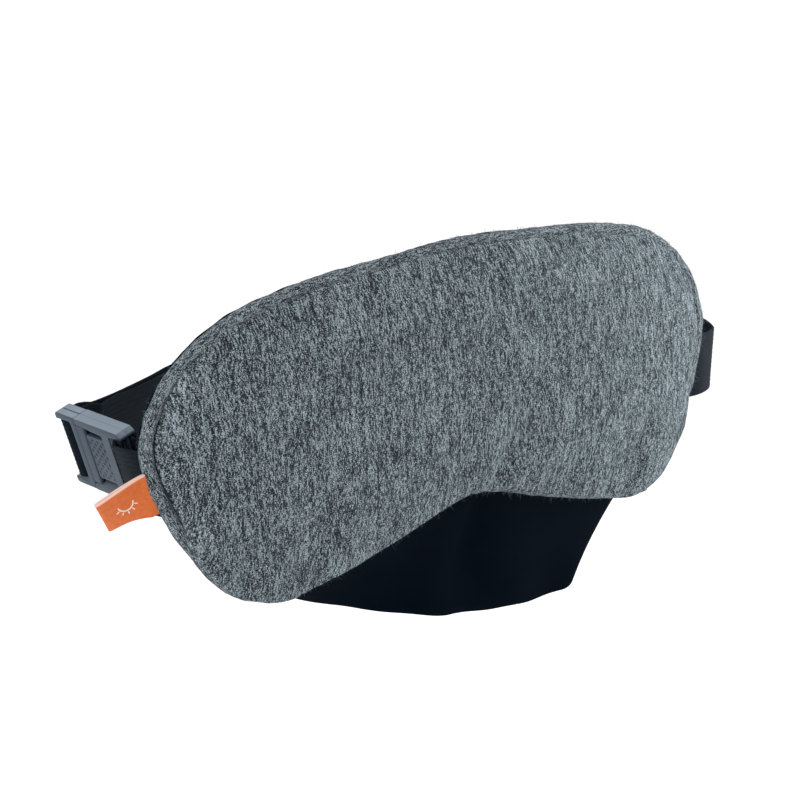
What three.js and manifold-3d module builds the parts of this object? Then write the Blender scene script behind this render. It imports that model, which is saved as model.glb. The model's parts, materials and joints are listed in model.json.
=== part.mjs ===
// An eye massager mask: a padded, bent mask with four coin vibration motors and a heater film inside,
// a nose flap, a folded label, and an elastic head strap closed by a press-tongue buckle.
// Millimetres. +X is the right-hand end seen from the front, +Y points to the wearer's head, +Z is up.
// The origin is the middle of the skin-side face of the mask.
import * as THREE from "three";
import { mergeVertices } from "three/addons/utils/BufferGeometryUtils.js";
import Module from "manifold-3d";

const wasm = await Module();
wasm.setup();

// ---------- driving dimensions ----------
const BEND_RADIUS = 560; // the mask wraps a face a little: radius of its seam surface
const SEAM_Y = -8; // the seam plane lies this far in front of the origin at the middle
const CLEAR = 0.3; // gap between touching solids
const FRONT_CROWN = 9; // depth of the front face in front of the seam plane
const BACK_CROWN = 8; // depth of the skin face behind the seam plane
const CROWN_RUN = 26; // distance from the edge over which the crown rises
const COVER_WALL = 1;
const PIPING_RADIUS = 1.9;
const COVER_INSET = 2 * PIPING_RADIUS + 0.4; // covers are sewn to the piping's inner side
const EDGE_DEPTH = 2.2; // half thickness of the mask where the covers meet the piping

// Half of the symmetric outline in the seam surface: arc length from the middle, and height.
const HALF_OUTLINE = [
  [0, 51.3], [28, 49.5], [57, 46.5], [82, 39.5], [100, 25.5], [107.5, 8],
  [103.5, -9], [96, -23], [85, -37], [70, -43], [52, -40], [27, -33], [9, -27.5],
];
const NOTCH_BOTTOM = -26.2;

// Strap and buckle.
const WEB_WIDTH = 20;
const WEB_THICK = 1.2;
const STRAP_Z = -6; // height of the strap's middle behind the mask
const BUCKLE = { length: 31.2, height: 24.6, thick: 5.4, centre: [-90.8, 47.6, -5.1] };
const BUCKLE_ALONG = [-0.086, 0.994, 0.069]; // from the socket towards the plug
const BUCKLE_UP = [-0.298, -0.092, 0.95];
const SEAM_X = 6.6; // where the socket meets the plug, along the buckle from its middle
const BAR_X = { socket: 12.3, plug: 13.2 }; // how far each webbing bar lies from the buckle's middle
const BAR_RADIUS = 1;

// Motors: arc position and height of each, two over each eye.
const MOTOR_PLACES = { brow_left: [-40, 24], temple_left: [-76, 4], brow_right: [40, 24], temple_right: [76, 4] };
const MOTOR = { radius: 5, height: 3.4, wall: 0.35, depth: -0.5 };
const BOOT_WALL = 1;

// The power inlet goes through the lower edge of the right lobe, where the edge runs level.
const INLET = { at: 69, face: -42.3, width: 13, depth: 9, thick: 5.6 };

// ---------- materials ----------
const finish = (color, roughness, metalness = 0) =>
  new THREE.MeshStandardMaterial({ color, roughness, metalness });
const MATERIAL = {
  knit: finish(0x7d8587, 0.95),
  satin: finish(0x0c1116, 0.7),
  foam: finish(0xd9d6cc, 0.95),
  film: finish(0x26262a, 0.5),
  copper: finish(0xb8703c, 0.4, 1),
  steel: finish(0xb9bcc0, 0.3, 1),
  silicone: finish(0xe6e6e2, 0.6),
  board: finish(0x1f5a36, 0.5),
  lead: finish(0x9a2a22, 0.6),
  inlet: finish(0x2b2d30, 0.5),
  webbing: finish(0x161c20, 0.85),
  plastic: finish(0x6e7781, 0.5),
  label: finish(0xd9652a, 0.75),
};

// ---------- solids ----------
const solidOf = (geometry) => {
  const bare = geometry.clone();
  for (const name of ["normal", "uv"]) bare.deleteAttribute(name);
  const merged = mergeVertices(bare, 1e-4);
  return new wasm.Manifold(
    new wasm.Mesh({
      numProp: 3,
      vertProperties: merged.attributes.position.array,
      triVerts: new Uint32Array(merged.index.array),
    }),
  );
};

const geometryOf = (solid) => {
  const { vertProperties, triVerts } = solid.getMesh();
  return new THREE.BufferGeometry()
    .setAttribute("position", new THREE.BufferAttribute(vertProperties, 3))
    .setIndex(new THREE.BufferAttribute(triVerts, 1));
};

const join = (...geometries) => geometryOf(geometries.map(solidOf).reduce((a, b) => a.add(b)));
const cut = (geometry, ...tools) =>
  geometryOf(tools.map(solidOf).reduce((a, b) => a.subtract(b), solidOf(geometry)));

// Moves every vertex of a geometry by a function of its position.
const reshape = (geometry, place) => {
  const position = geometry.getAttribute("position");
  const point = new THREE.Vector3();
  for (let i = 0; i < position.count; i++) {
    place(point.fromBufferAttribute(position, i));
    position.setXYZ(i, point.x, point.y, point.z);
  }
  return geometry;
};

const block = (x, y, z, at = [0, 0, 0]) => new THREE.BoxGeometry(x, y, z).translate(...at);

const root = new THREE.Group();
const addTo = (parent, name, geometry, material) => {
  const mesh = new THREE.Mesh(geometry, material);
  mesh.name = name;
  parent.add(mesh);
  return mesh;
};
const add = (name, geometry, material) => addTo(root, name, geometry, material);

// ---------- the mask's layout ----------
// A layout point is (arc, depth behind the seam surface, height). It is bent round a vertical cylinder.
const bendPoint = (point) => {
  const angle = point.x / BEND_RADIUS;
  const reach = BEND_RADIUS - point.y;
  const height = point.z;
  return point.set(Math.sin(angle) * reach, SEAM_Y + BEND_RADIUS - Math.cos(angle) * reach, height);
};
const bent = (geometry) => reshape(geometry, bendPoint);
const bentAt = (arc, depth, height) => bendPoint(new THREE.Vector3(arc, depth, height));

const outlinePoints = [
  ...HALF_OUTLINE.map(([x, z]) => new THREE.Vector3(x, 0, z)),
  new THREE.Vector3(0, 0, NOTCH_BOTTOM),
  ...HALF_OUTLINE.slice(1).reverse().map(([x, z]) => new THREE.Vector3(-x, 0, z)),
];
const outline = new THREE.CatmullRomCurve3(outlinePoints, true, "centripetal");
outline.arcLengthDivisions = 800;
const outlineSamples = outline.getSpacedPoints(240).slice(0, -1);

// The outline moved inwards by a distance, at a share of the way round.
const insetOutline = (share, inset) => {
  const around = ((share % 1) + 1) % 1;
  const point = outline.getPointAt(around);
  const tangent = outline.getTangentAt(around);
  return point.add(new THREE.Vector3(-tangent.z, 0, tangent.x).multiplyScalar(-inset));
};
const distanceToEdge = (x, z) => Math.min(...outlineSamples.map((p) => Math.hypot(p.x - x, p.z - z)));

// 0 at the edge, 1 from CROWN_RUN inwards, rounded like a cushion's side.
const crown = (distance) => {
  const share = Math.min(1, Math.max(0, distance / CROWN_RUN));
  return Math.sqrt(1 - (1 - share) ** 2);
};

// A closed layer between two depths, which may each be a function of the distance from the edge.
// It is a sphere whose poles are the middles of its two faces and whose equator is its edge.
const HUB = new THREE.Vector3(0, 0, 12);
const layer = (inset, nearDepth, farDepth, around = 56, rings = 6) => {
  const sphere = new THREE.SphereGeometry(1, around, 2 * rings);
  return bent(
    reshape(sphere, (p) => {
      const share = Math.atan2(p.x, p.z) / (2 * Math.PI);
      const latitude = Math.asin(THREE.MathUtils.clamp(p.y, -1, 1)) / (Math.PI / 2);
      const edge = insetOutline(share, inset);
      const reach = Math.min(1, (1 - Math.abs(latitude)) * (1 + 0.5 / rings));
      const x = HUB.x + (edge.x - HUB.x) * reach;
      const z = HUB.z + (edge.z - HUB.z) * reach;
      const distance = distanceToEdge(x, z) - COVER_INSET;
      const middle = (nearDepth(distance) + farDepth(distance)) / 2;
      const face = latitude > 0 ? farDepth(distance) : nearDepth(distance);
      const depth = Math.abs(latitude) < 1e-6 ? middle : face;
      p.set(x, depth, z);
    }),
  );
};

const frontDepth = (offset) => (d) => -(EDGE_DEPTH + (FRONT_CROWN - EDGE_DEPTH) * crown(d)) + offset;
const backDepth = (offset) => (d) => EDGE_DEPTH + (BACK_CROWN - EDGE_DEPTH) * crown(d) - offset;
const level = (depth) => () => depth;
// A foam layer is flat inside and keeps within the crown of the covers near its edge.
const coverWall = (d) => COVER_WALL + 0.6 * (1 - crown(d));
const withinFront = (depth) => (d) => Math.max(depth, frontDepth(coverWall(d) + 3 * CLEAR)(d));
const withinBack = (depth) => (d) => Math.min(depth, backDepth(coverWall(d) + 2 * CLEAR)(d));

// ---------- inlet place ----------
const inletAngle = INLET.at / BEND_RADIUS;
const inletGroup = new THREE.Group();
inletGroup.position.copy(bentAt(INLET.at, 0, INLET.face));
inletGroup.rotation.z = inletAngle;
root.add(inletGroup);
inletGroup.updateMatrixWorld(true);
const grommetShape = (grow) => {
  const shape = new THREE.Shape();
  const half = INLET.width / 2 + grow;
  const radius = INLET.thick / 2 + grow;
  shape.absarc(half - radius, 0, radius, -Math.PI / 2, Math.PI / 2);
  shape.absarc(radius - half, 0, radius, Math.PI / 2, 1.5 * Math.PI);
  return shape;
};
const grommetBody = (grow) =>
  new THREE.ExtrudeGeometry(
    grommetShape(grow),
    { depth: INLET.depth + grow, bevelEnabled: false, curveSegments: 8 },
  );
const inletCutter = grommetBody(CLEAR).applyMatrix4(inletGroup.matrixWorld);

// ---------- covers, piping and padding ----------
const front = layer(COVER_INSET, frontDepth(0), (d) => frontDepth(coverWall(d))(d), 52, 6);
add("front_cover", cut(front, inletCutter), MATERIAL.knit);

const back = layer(COVER_INSET, (d) => backDepth(coverWall(d))(d), backDepth(0), 52, 6);
add("back_cover", cut(back, inletCutter), MATERIAL.satin);

const pipingRing = new THREE.TorusGeometry(2, 1, 8, 72);
const piping = bent(
  reshape(pipingRing, (p) => {
    const share = Math.atan2(p.x, p.y) / (2 * Math.PI);
    const outwards = (Math.hypot(p.x, p.y) - 2) * PIPING_RADIUS;
    const edge = insetOutline(share, PIPING_RADIUS - outwards);
    p.set(edge.x, -p.z * PIPING_RADIUS, edge.z);
  }),
);
add("edge_piping", cut(piping, inletCutter), MATERIAL.knit);

const PAD_INSET = 12;
add("front_wadding", layer(PAD_INSET, withinFront(-7.4), level(-5.1), 32, 4), MATERIAL.foam);
add("comfort_foam", layer(PAD_INSET, level(2.9), withinBack(6.6), 32, 4), MATERIAL.foam);

// ---------- motors ----------
const flatPose = (arc, depth, height) => {
  const group = new THREE.Group();
  group.position.copy(bentAt(arc, depth, height));
  group.rotation.z = arc / BEND_RADIUS;
  return group;
};
// Turned parts are drawn about +Y here: y is the depth, so they lie flat in the mask.
const lathe = (profile, segments = 16) =>
  new THREE.LatheGeometry(profile.map(([radius, y]) => new THREE.Vector2(radius, y)), segments);

const canProfile = ({ radius, height, wall }) => [
  [0, 0], [radius, 0], [radius, height], [radius - wall, height], [radius - wall, wall], [0, wall],
];
const rotorShape = () => {
  const shape = new THREE.Shape();
  const outer = MOTOR.radius - MOTOR.wall - CLEAR;
  const inner = 0.95;
  shape.absarc(0, 0, outer, 0, Math.PI);
  shape.absarc(0, 0, inner, Math.PI, 0, true);
  return shape;
};

for (const [place, [arc, height]] of Object.entries(MOTOR_PLACES)) {
  const group = flatPose(arc, MOTOR.depth - MOTOR.height / 2, height);
  root.add(group);
  addTo(group, `motor_can_${place}`, lathe(canProfile(MOTOR)), MATERIAL.steel);
  const plateRadius = MOTOR.radius - MOTOR.wall - 0.1;
  const plateLow = MOTOR.height - 0.5;
  const plate = lathe([[0, plateLow], [plateRadius, plateLow], [plateRadius, MOTOR.height], [0, MOTOR.height]]);
  addTo(group, `motor_plate_${place}`, plate, MATERIAL.board);
  const shaftEnds = [MOTOR.wall + 0.1, MOTOR.height - 0.6];
  const shaft = lathe([[0, shaftEnds[0]], [0.6, shaftEnds[0]], [0.6, shaftEnds[1]], [0, shaftEnds[1]]], 12);
  addTo(group, `motor_shaft_${place}`, shaft, MATERIAL.steel);
  const rotor = new THREE.ExtrudeGeometry(rotorShape(), { depth: 1.6, bevelEnabled: false, curveSegments: 8 });
  rotor.rotateX(-Math.PI / 2).translate(0, MOTOR.wall + CLEAR + 0.1, 0);
  addTo(group, `rotor_weight_${place}`, rotor, MATERIAL.copper);
  const inner = MOTOR.radius + 0.15;
  const outer = inner + BOOT_WALL;
  const boot = lathe([
    [0, -0.9], [outer, -0.9], [outer, MOTOR.height], [inner, MOTOR.height], [inner, -0.15], [0, -0.15],
  ]);
  addTo(group, `motor_boot_${place}`, boot, MATERIAL.silicone);
}

// ---------- wiring ----------
const BOARD = { arc: 66, height: -24, width: 16, tall: 9 };
const LEAD_RADIUS = 0.6;
const LEAD_DEPTH = -3.8;
const tube = (points, radius, steps = 14, sides = 6) => {
  const line = points.map(([x, z, depth = LEAD_DEPTH]) => new THREE.Vector3(x, depth, z));
  const curve = new THREE.CatmullRomCurve3(line, false, "centripetal");
  const section = new THREE.Shape().absarc(0, 0, radius, 0, 2 * Math.PI);
  const options = { steps, extrudePath: curve, curveSegments: sides / 2, bevelEnabled: false };
  return bent(new THREE.ExtrudeGeometry(section, options));
};
const motorEdge = MOTOR.radius + BOOT_WALL + 1;
const boardTop = BOARD.height + BOARD.tall / 2 + 0.7;
const boardLeft = BOARD.arc - BOARD.width / 2 - 0.6;
const LEAD_ROUTES = {
  lead_temple_right: [[70, boardTop], [71.5, -12], [75, 4 - motorEdge]],
  lead_brow_right: [[66, boardTop], [62, -6], [53, 12], [40 + motorEdge, 22]],
  lead_brow_left: [[62, boardTop], [50, -2], [22, 15], [0, 20], [-18, 22], [-40 + motorEdge, 23]],
  lead_temple_left: [[boardLeft, -23], [46, -10], [20, 7], [0, 11], [-30, 8], [-58, 5], [-76 + motorEdge, 4]],
};
for (const [name, route] of Object.entries(LEAD_ROUTES)) add(name, tube(route, LEAD_RADIUS), MATERIAL.lead);
const inletTop = INLET.face + INLET.depth + 0.4;
const SUPPLY_ROUTE = [
  [INLET.at, inletTop, -0.8],
  [68.6, -32, -1.7],
  [67, BOARD.height - BOARD.tall / 2 - 0.7, -3.7],
];
add("supply_lead", tube(SUPPLY_ROUTE, 0.9, 8), MATERIAL.lead);

// The board lies flat in front of the middle foam, with its chip in a pocket of the foam.
const boardPose = flatPose(BOARD.arc, -3.7, BOARD.height);
root.add(boardPose);
addTo(boardPose, "junction_board", block(BOARD.width, 1, BOARD.tall), MATERIAL.board);
addTo(boardPose, "driver_chip", block(4, 0.8, 4, [2, 0.9 + CLEAR, 0]), MATERIAL.inlet);
boardPose.updateMatrixWorld(true);

// The middle foam holds the motor boots in round pockets, and gives way to the chip and the supply lead.
const MIDDLE = { near: -2.9, far: 1.7 };
const bootPocket = ([arc, height]) =>
  new THREE.CylinderGeometry(MOTOR.radius + BOOT_WALL + 0.5, MOTOR.radius + BOOT_WALL + 0.5, 12, 20)
    .rotateZ(arc / BEND_RADIUS)
    .translate(...bentAt(arc, 0, height).toArray());
const chipPocket = block(5, 5, 5, [2, 0, 0]).applyMatrix4(boardPose.matrixWorld);
const supplyNotch = block(5, 8, 12, [INLET.at - 1.2, 0, -32.5]).applyMatrix4(
  new THREE.Matrix4().makeTranslation(0, bentAt(INLET.at, -3, 0).y, 0),
);
const middle = layer(7, level(MIDDLE.near), level(MIDDLE.far), 32, 4);
const pockets = [...Object.values(MOTOR_PLACES).map(bootPocket), chipPocket, supplyNotch, inletCutter];
add("middle_foam", cut(middle, ...pockets), MATERIAL.foam);

// The heater film is one thin sheet over both eyes, with its cut-out fuse on the skin side of its middle.
add("heater_film", layer(16, level(2.1), level(2.5), 32, 4), MATERIAL.film);

// ---------- power inlet ----------
const stadium = (width, thick) => {
  const shape = new THREE.Shape();
  const radius = thick / 2;
  shape.absarc(width / 2 - radius, 0, radius, -Math.PI / 2, Math.PI / 2);
  shape.absarc(radius - width / 2, 0, radius, Math.PI / 2, 1.5 * Math.PI);
  return shape;
};
const rod = (shape, depth, start = 0) =>
  new THREE.ExtrudeGeometry(shape, { depth, bevelEnabled: false, curveSegments: 8 }).translate(0, 0, start);
const RECEPTACLE = { width: 9, thick: 3.3, wall: 0.35, depth: 7.4 };
const { width: recWidth, thick: recThick, wall: recWall, depth: recDepth } = RECEPTACLE;
addTo(
  inletGroup,
  "inlet_grommet",
  cut(rod(grommetShape(0), INLET.depth), rod(stadium(recWidth + 2 * CLEAR, recThick + 2 * CLEAR), 20, -5)),
  MATERIAL.silicone,
);
addTo(
  inletGroup,
  "inlet_shell",
  cut(
    rod(stadium(recWidth, recThick), recDepth, 0.2),
    rod(stadium(recWidth - 2 * recWall, recThick - 2 * recWall), recDepth - 0.5, -0.5),
  ),
  MATERIAL.steel,
);
addTo(inletGroup, "inlet_contact_tongue", block(6.6, 0.7, 4.4, [0, 0, recDepth - 3.6]), MATERIAL.inlet);

// ---------- webbing ----------
// A flat ribbon along a centre line. Each station is [point, up], and both are blended smoothly.
const ribbon = (stations, steps, width = WEB_WIDTH, thick = WEB_THICK) => {
  const line = new THREE.CatmullRomCurve3(stations.map(([p]) => p), false, "centripetal");
  line.arcLengthDivisions = 400;
  const ups = new THREE.CatmullRomCurve3(stations.map(([, up]) => up), false, "centripetal");
  const box = new THREE.BoxGeometry(1, 1, 1, steps, 1, 1);
  return reshape(box, (p) => {
    const share = p.x + 0.5;
    const t = line.getUtoTmapping(share);
    const along = line.getTangent(t);
    const up = ups.getPoint(t).addScaledVector(along, -along.dot(ups.getPoint(t))).normalize();
    const across = new THREE.Vector3().crossVectors(along, up);
    const [w, h] = [p.y * width, p.z * thick];
    p.copy(line.getPoint(t)).addScaledVector(up, w).addScaledVector(across, h);
  });
};
const UP = new THREE.Vector3(0, 0, 1);
const station = (x, y, z = STRAP_Z, up = UP) => [new THREE.Vector3(x, y, z), up];

// Buckle axes: along it (towards the plug), up it, and through it (towards the head).
const alongBuckle = new THREE.Vector3(...BUCKLE_ALONG).normalize();
const throughBuckle = new THREE.Vector3().crossVectors(alongBuckle, new THREE.Vector3(...BUCKLE_UP)).normalize();
const buckleAxes = [alongBuckle, new THREE.Vector3().crossVectors(throughBuckle, alongBuckle), throughBuckle];
const buckleGroup = new THREE.Group();
buckleGroup.position.set(...BUCKLE.centre);
buckleGroup.setRotationFromMatrix(new THREE.Matrix4().makeBasis(...buckleAxes));
root.add(buckleGroup);
const inBuckle = (x, z, y = 0) =>
  new THREE.Vector3(...BUCKLE.centre)
    .addScaledVector(buckleAxes[0], x)
    .addScaledVector(buckleAxes[1], y)
    .addScaledVector(buckleAxes[2], z);
const buckleStation = (x, z) => [inBuckle(x, z), buckleAxes[1]];

// Half a turn of webbing round a bar. The middle angle is measured from along the buckle towards its inner side.
const WRAP_RADIUS = BAR_RADIUS + WEB_THICK / 2 + 0.35;
const wrap = (barX, middle, turn) =>
  [-90, -45, 0, 45, 90].map((step) => {
    const angle = THREE.MathUtils.degToRad(middle + turn * step);
    return buckleStation(barX + WRAP_RADIUS * Math.cos(angle), WRAP_RADIUS * Math.sin(angle));
  });
const leaning = (amount) => new THREE.Vector3(-amount, 0, 1).normalize();

// Short webbing: sewn into the left seam, round the socket's bar, its end sewn back on itself.
const shortWeb = [
  station(-101.6, 6.3, -3.2, leaning(0.25)),
  station(-101.8, 10.5, -3.6, leaning(0.25)),
  station(-100.9, 16.5, -4.6, leaning(0.25)),
  station(-98.3, 23.3, -6.1, leaning(0.25)),
  station(-94.8, 31, -7.7, leaning(0.27)),
  ...wrap(-BAR_X.socket, 37, 1),
  station(-88.9, 30.2, -6.2, leaning(0.28)),
  station(-90.8, 25.6, -6.2, leaning(0.15)),
  station(-93.6, 21.2, -5.2, leaning(0.2)),
  station(-97.2, 15.8, -4.3, leaning(0.22)),
];
add("short_webbing", ribbon(shortWeb, 46), MATERIAL.webbing);

// Long webbing: from the right seam, round the back of the head to the slider, on to the plug's bar,
// round it and back to the slider. It is cut where the parts that move with the plug and slider begin.
const CUT_X = -40; // the webbing left of this moves with the plug
const CUT_GAP = 0.7;
const BAND_Y = 98.5; // the straight rear stretch
const rightAndRear = [
  station(105.2, 6.3, -10.2),
  station(112.5, 6.9, -10.2, leaning(-0.06)),
  station(119.8, 10, -10, leaning(-0.13)),
  station(124.5, 15.5, -10, leaning(-0.13)),
  station(128.5, 23.5, -9.7, leaning(-0.1)),
  station(130, 33, -9.2, leaning(-0.05)),
  station(127.5, 47, -8.6),
  station(117, 64, -7.5),
  station(96, 81.5, -6.5),
  station(68, 93.5),
  station(40, BAND_Y - 0.5),
  station(20, BAND_Y),
  station(0, BAND_Y),
  station(-10, BAND_Y),
  station(-25, BAND_Y - 1.6, -5.4),
  station(CUT_X + CUT_GAP, 91.4, -5),
];
add("rear_webbing", ribbon(rightAndRear, 56), MATERIAL.webbing);

const plugLoop = [
  station(CUT_X - CUT_GAP, 90.6, -5),
  station(-50, 85, -5),
  station(-62, 78.2, -5, leaning(0.05)),
  station(-75, 71.1, -4.8, leaning(0.12)),
  station(-83.6, 66.4, -3.6, leaning(0.27)),
  buckleStation(16.9, 3.2),
  ...wrap(BAR_X.plug, -116, -1),
  buckleStation(13.1, 4.2),
  station(-82.8, 62.1, -3.5, leaning(0.27)),
  station(-73.4, 68.2, -4.8, leaning(0.12)),
  station(-62, 74.9, -5, leaning(0.05)),
  station(-50, 81.6, -5),
  station(CUT_X - CUT_GAP, 86.9, -5),
];
add("plug_webbing", ribbon(plugLoop, 72), MATERIAL.webbing);

// ---------- slider ----------
const SLIDER = { x: -2, width: 15, height: 25, slotHeight: 21, thick: 1.8, bar: 2.4, rim: 2.2 };
const returnEnd = SLIDER.x - 6.5;
const returnRun = [
  station(CUT_X + CUT_GAP, 87.6, -5),
  station(-26, BAND_Y - 6.2, -5.5),
  station(-15, BAND_Y - 4.2),
  station(returnEnd - 0.5, BAND_Y - 3.9),
];
add("return_webbing", ribbon(returnRun, 10), MATERIAL.webbing);

// The slider is a frame round the rear webbing, with the webbing's end sewn round its inner bar.
const sliderGroup = new THREE.Group();
sliderGroup.position.set(SLIDER.x, BAND_Y, STRAP_Z);
root.add(sliderGroup);
const sliderFace = (y) =>
  cut(
    block(SLIDER.width, SLIDER.thick, SLIDER.height, [0, y, 0]),
    block(SLIDER.width - 2 * SLIDER.rim, 6, SLIDER.slotHeight, [0, y, 0]),
  );
const endPost = (z) => block(SLIDER.width, 6, (SLIDER.height - SLIDER.slotHeight) / 2, [0, -1.3, z]);
const postZ = (SLIDER.height + SLIDER.slotHeight) / 4;
const innerBar = block(SLIDER.bar, 1.6, SLIDER.height - 1, [-1, -3.5, 0]);
const outerBars = sliderFace(1.9);
addTo(sliderGroup, "strap_slider", join(outerBars, endPost(postZ), endPost(-postZ), innerBar), MATERIAL.plastic);

const endLoop = [
  station(returnEnd, BAND_Y - 3.7),
  station(SLIDER.x - 3.6, BAND_Y - 4.7),
  station(SLIDER.x - 1, BAND_Y - 5.1),
  station(SLIDER.x + 1.5, BAND_Y - 4.4),
  station(SLIDER.x + 1.9, BAND_Y - 3.2),
  station(SLIDER.x + 1, BAND_Y - 1.9),
];
add("strap_end_loop", ribbon(endLoop, 16, WEB_WIDTH, 0.9), MATERIAL.webbing);

// ---------- buckle ----------
const RAIL = 2; // height of each rail
const railMiddle = BUCKLE.height / 2 - RAIL / 2;
const half = BUCKLE.length / 2;
const rails = (fromX, toX, thick) =>
  [1, -1].map((side) => block(toX - fromX, RAIL, thick, [(fromX + toX) / 2, side * railMiddle, 0]));
const bar = (x) => new THREE.CylinderGeometry(BAR_RADIUS, BAR_RADIUS, BUCKLE.height - RAIL, 12).translate(x, 0, 0);
const POCKET = { from: -7.6, height: 17.6 }; // the hollow that the plug's blade goes into

const socketBody = join(
  ...rails(-half, SEAM_X - 0.15, BUCKLE.thick),
  bar(-BAR_X.socket),
  block(SEAM_X - 0.15 + 9.1, BUCKLE.height, BUCKLE.thick, [(SEAM_X - 0.15 - 9.1) / 2, 0, 0]),
);
const pocketLength = SEAM_X - POCKET.from + 1;
const socketPocket = block(pocketLength, POCKET.height, 2.9, [POCKET.from + pocketLength / 2, 0, -0.1]);
const WINDOW = { from: -5.8, height: 20.2 };
const windowLength = SEAM_X - WINDOW.from + 1;
const socketWindow = block(windowLength, WINDOW.height, 2.6, [WINDOW.from + windowLength / 2, 0, -2.4]);
addTo(buckleGroup, "buckle_socket", cut(socketBody, socketPocket, socketWindow), MATERIAL.plastic);

const CROSSBAR = { from: 3.4, height: 19.6, thick: 1.4, z: -2 }; // the plug's bar across the window
const TONGUE = { from: -5.5, to: CROSSBAR.from - 0.3, height: 14.6, thick: 1.5, z: -1.75 };
const plugBody = join(
  ...rails(SEAM_X + 0.15, half, BUCKLE.thick),
  bar(BAR_X.plug),
  block(2.35, BUCKLE.height, BUCKLE.thick, [SEAM_X + 1.325, 0, 0]),
  block(SEAM_X + 1 - CROSSBAR.from, CROSSBAR.height, CROSSBAR.thick, [(SEAM_X + 1 + CROSSBAR.from) / 2, 0, CROSSBAR.z]),
  block(SEAM_X + 1 - (POCKET.from + 0.6), POCKET.height - 0.8, 1.2, [(SEAM_X + 1 + POCKET.from + 0.6) / 2, 0, 0.6]),
);
addTo(buckleGroup, "buckle_plug", plugBody, MATERIAL.plastic);
addTo(
  buckleGroup,
  "buckle_tongue",
  block(TONGUE.to - TONGUE.from, TONGUE.height, TONGUE.thick, [(TONGUE.to + TONGUE.from) / 2, 0, TONGUE.z]),
  MATERIAL.plastic,
);

// ---------- nose flap ----------
// A thin sheet sewn along the lower edge: share across (-1 to 1) and share down (0 to 1) give a point.
const FLAP = { topHalf: 66, bottomHalf: 53, depth: 3.7, thick: 0.8, columns: 22, rows: 4 };
const lowerEdge = (arc) => {
  const lower = outlineSamples.filter((p) => p.z < 0).sort((a, b) => Math.abs(a.x - arc) - Math.abs(b.x - arc));
  const [a, b] = lower;
  return a.z + ((b.z - a.z) * (arc - a.x)) / (b.x - a.x || 1);
};
// The hem hangs lowest on the right; towards the left it swings back to the face and rises.
const flapHem = (side) => {
  const [left, right] = [Math.max(-side, 0), Math.max(side, 0)];
  const back = 4.4 + 19 * Math.max(left - 0.05, 0) ** 1.3 + 1.6 * right ** 2;
  const height = -66.3 + 16 * left ** 1.25 - 3.8 * Math.sin(Math.min(right / 0.75, 1) * (Math.PI / 2));
  return new THREE.Vector3(side * FLAP.bottomHalf, back, height);
};
const flapPoint = (side, down) => {
  const arc = side * FLAP.topHalf;
  const point = bentAt(arc, FLAP.depth, lowerEdge(arc) + 0.5).lerp(flapHem(side), down);
  point.y += 2 * Math.sin(Math.PI * down);
  return point;
};
const flapSheet = new THREE.BoxGeometry(2, 1, 1, FLAP.columns, FLAP.rows, 1);
reshape(flapSheet, (p) => {
  const offset = p.z * FLAP.thick;
  p.copy(flapPoint(p.x, 0.5 - p.y));
  p.y -= offset;
});
add("nose_flap", flapSheet, MATERIAL.satin);

// ---------- label ----------
// A woven ribbon folded in two, its ends sewn into the left seam below the webbing's top edge.
const LABEL = { width: 12.6, reach: 12.7, thick: 0.6, gap: 1.6, root: [-106.5, 1.9, -4.9] };
const labelOut = new THREE.Vector3(-0.939, 0.162, -0.297).normalize();
const labelUps = [new THREE.Vector3(-0.33, -0.03, 0.944), new THREE.Vector3(-0.51, -0.39, 0.764)];
const labelAt = (out, y) => [
  new THREE.Vector3(...LABEL.root).addScaledVector(labelOut, out).add(new THREE.Vector3(0, y, 0)),
  labelUps[0].clone().lerp(labelUps[1], Math.max(out / LABEL.reach, 0)).normalize(),
];
const labelLoop = [
  labelAt(0, -0.5), labelAt(4, -LABEL.gap), labelAt(9, -LABEL.gap), labelAt(LABEL.reach - 0.6, -0.9),
  labelAt(LABEL.reach, 0), labelAt(LABEL.reach - 0.6, 0.9), labelAt(9, LABEL.gap - 0.4), labelAt(4, LABEL.gap - 0.6),
  labelAt(0, 0.45),
];
add("label_tab", ribbon(labelLoop, 28, LABEL.width, LABEL.thick), MATERIAL.label);

export default root;
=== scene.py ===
"""Looks of the eye massager mask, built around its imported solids. Metres; +Y points to the wearer's head."""
import json
import math

import bpy
import numpy as np
from mathutils import Matrix, Vector


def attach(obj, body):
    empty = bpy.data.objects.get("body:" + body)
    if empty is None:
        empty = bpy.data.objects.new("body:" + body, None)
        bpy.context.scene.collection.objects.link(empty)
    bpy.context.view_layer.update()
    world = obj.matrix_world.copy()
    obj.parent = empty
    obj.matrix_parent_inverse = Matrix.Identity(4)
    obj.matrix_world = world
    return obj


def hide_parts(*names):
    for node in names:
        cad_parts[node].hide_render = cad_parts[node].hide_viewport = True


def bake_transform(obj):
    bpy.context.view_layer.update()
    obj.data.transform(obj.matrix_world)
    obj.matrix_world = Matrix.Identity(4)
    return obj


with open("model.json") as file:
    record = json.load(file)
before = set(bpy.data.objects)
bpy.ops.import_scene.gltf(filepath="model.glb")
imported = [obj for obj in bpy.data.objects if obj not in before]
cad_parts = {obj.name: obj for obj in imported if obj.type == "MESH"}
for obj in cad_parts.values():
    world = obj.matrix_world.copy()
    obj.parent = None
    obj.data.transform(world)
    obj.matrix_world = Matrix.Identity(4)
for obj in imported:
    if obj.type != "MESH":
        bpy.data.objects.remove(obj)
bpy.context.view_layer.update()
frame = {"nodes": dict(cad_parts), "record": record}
nodes = frame["nodes"]
scene = bpy.context.scene
MM = 0.001

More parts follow.
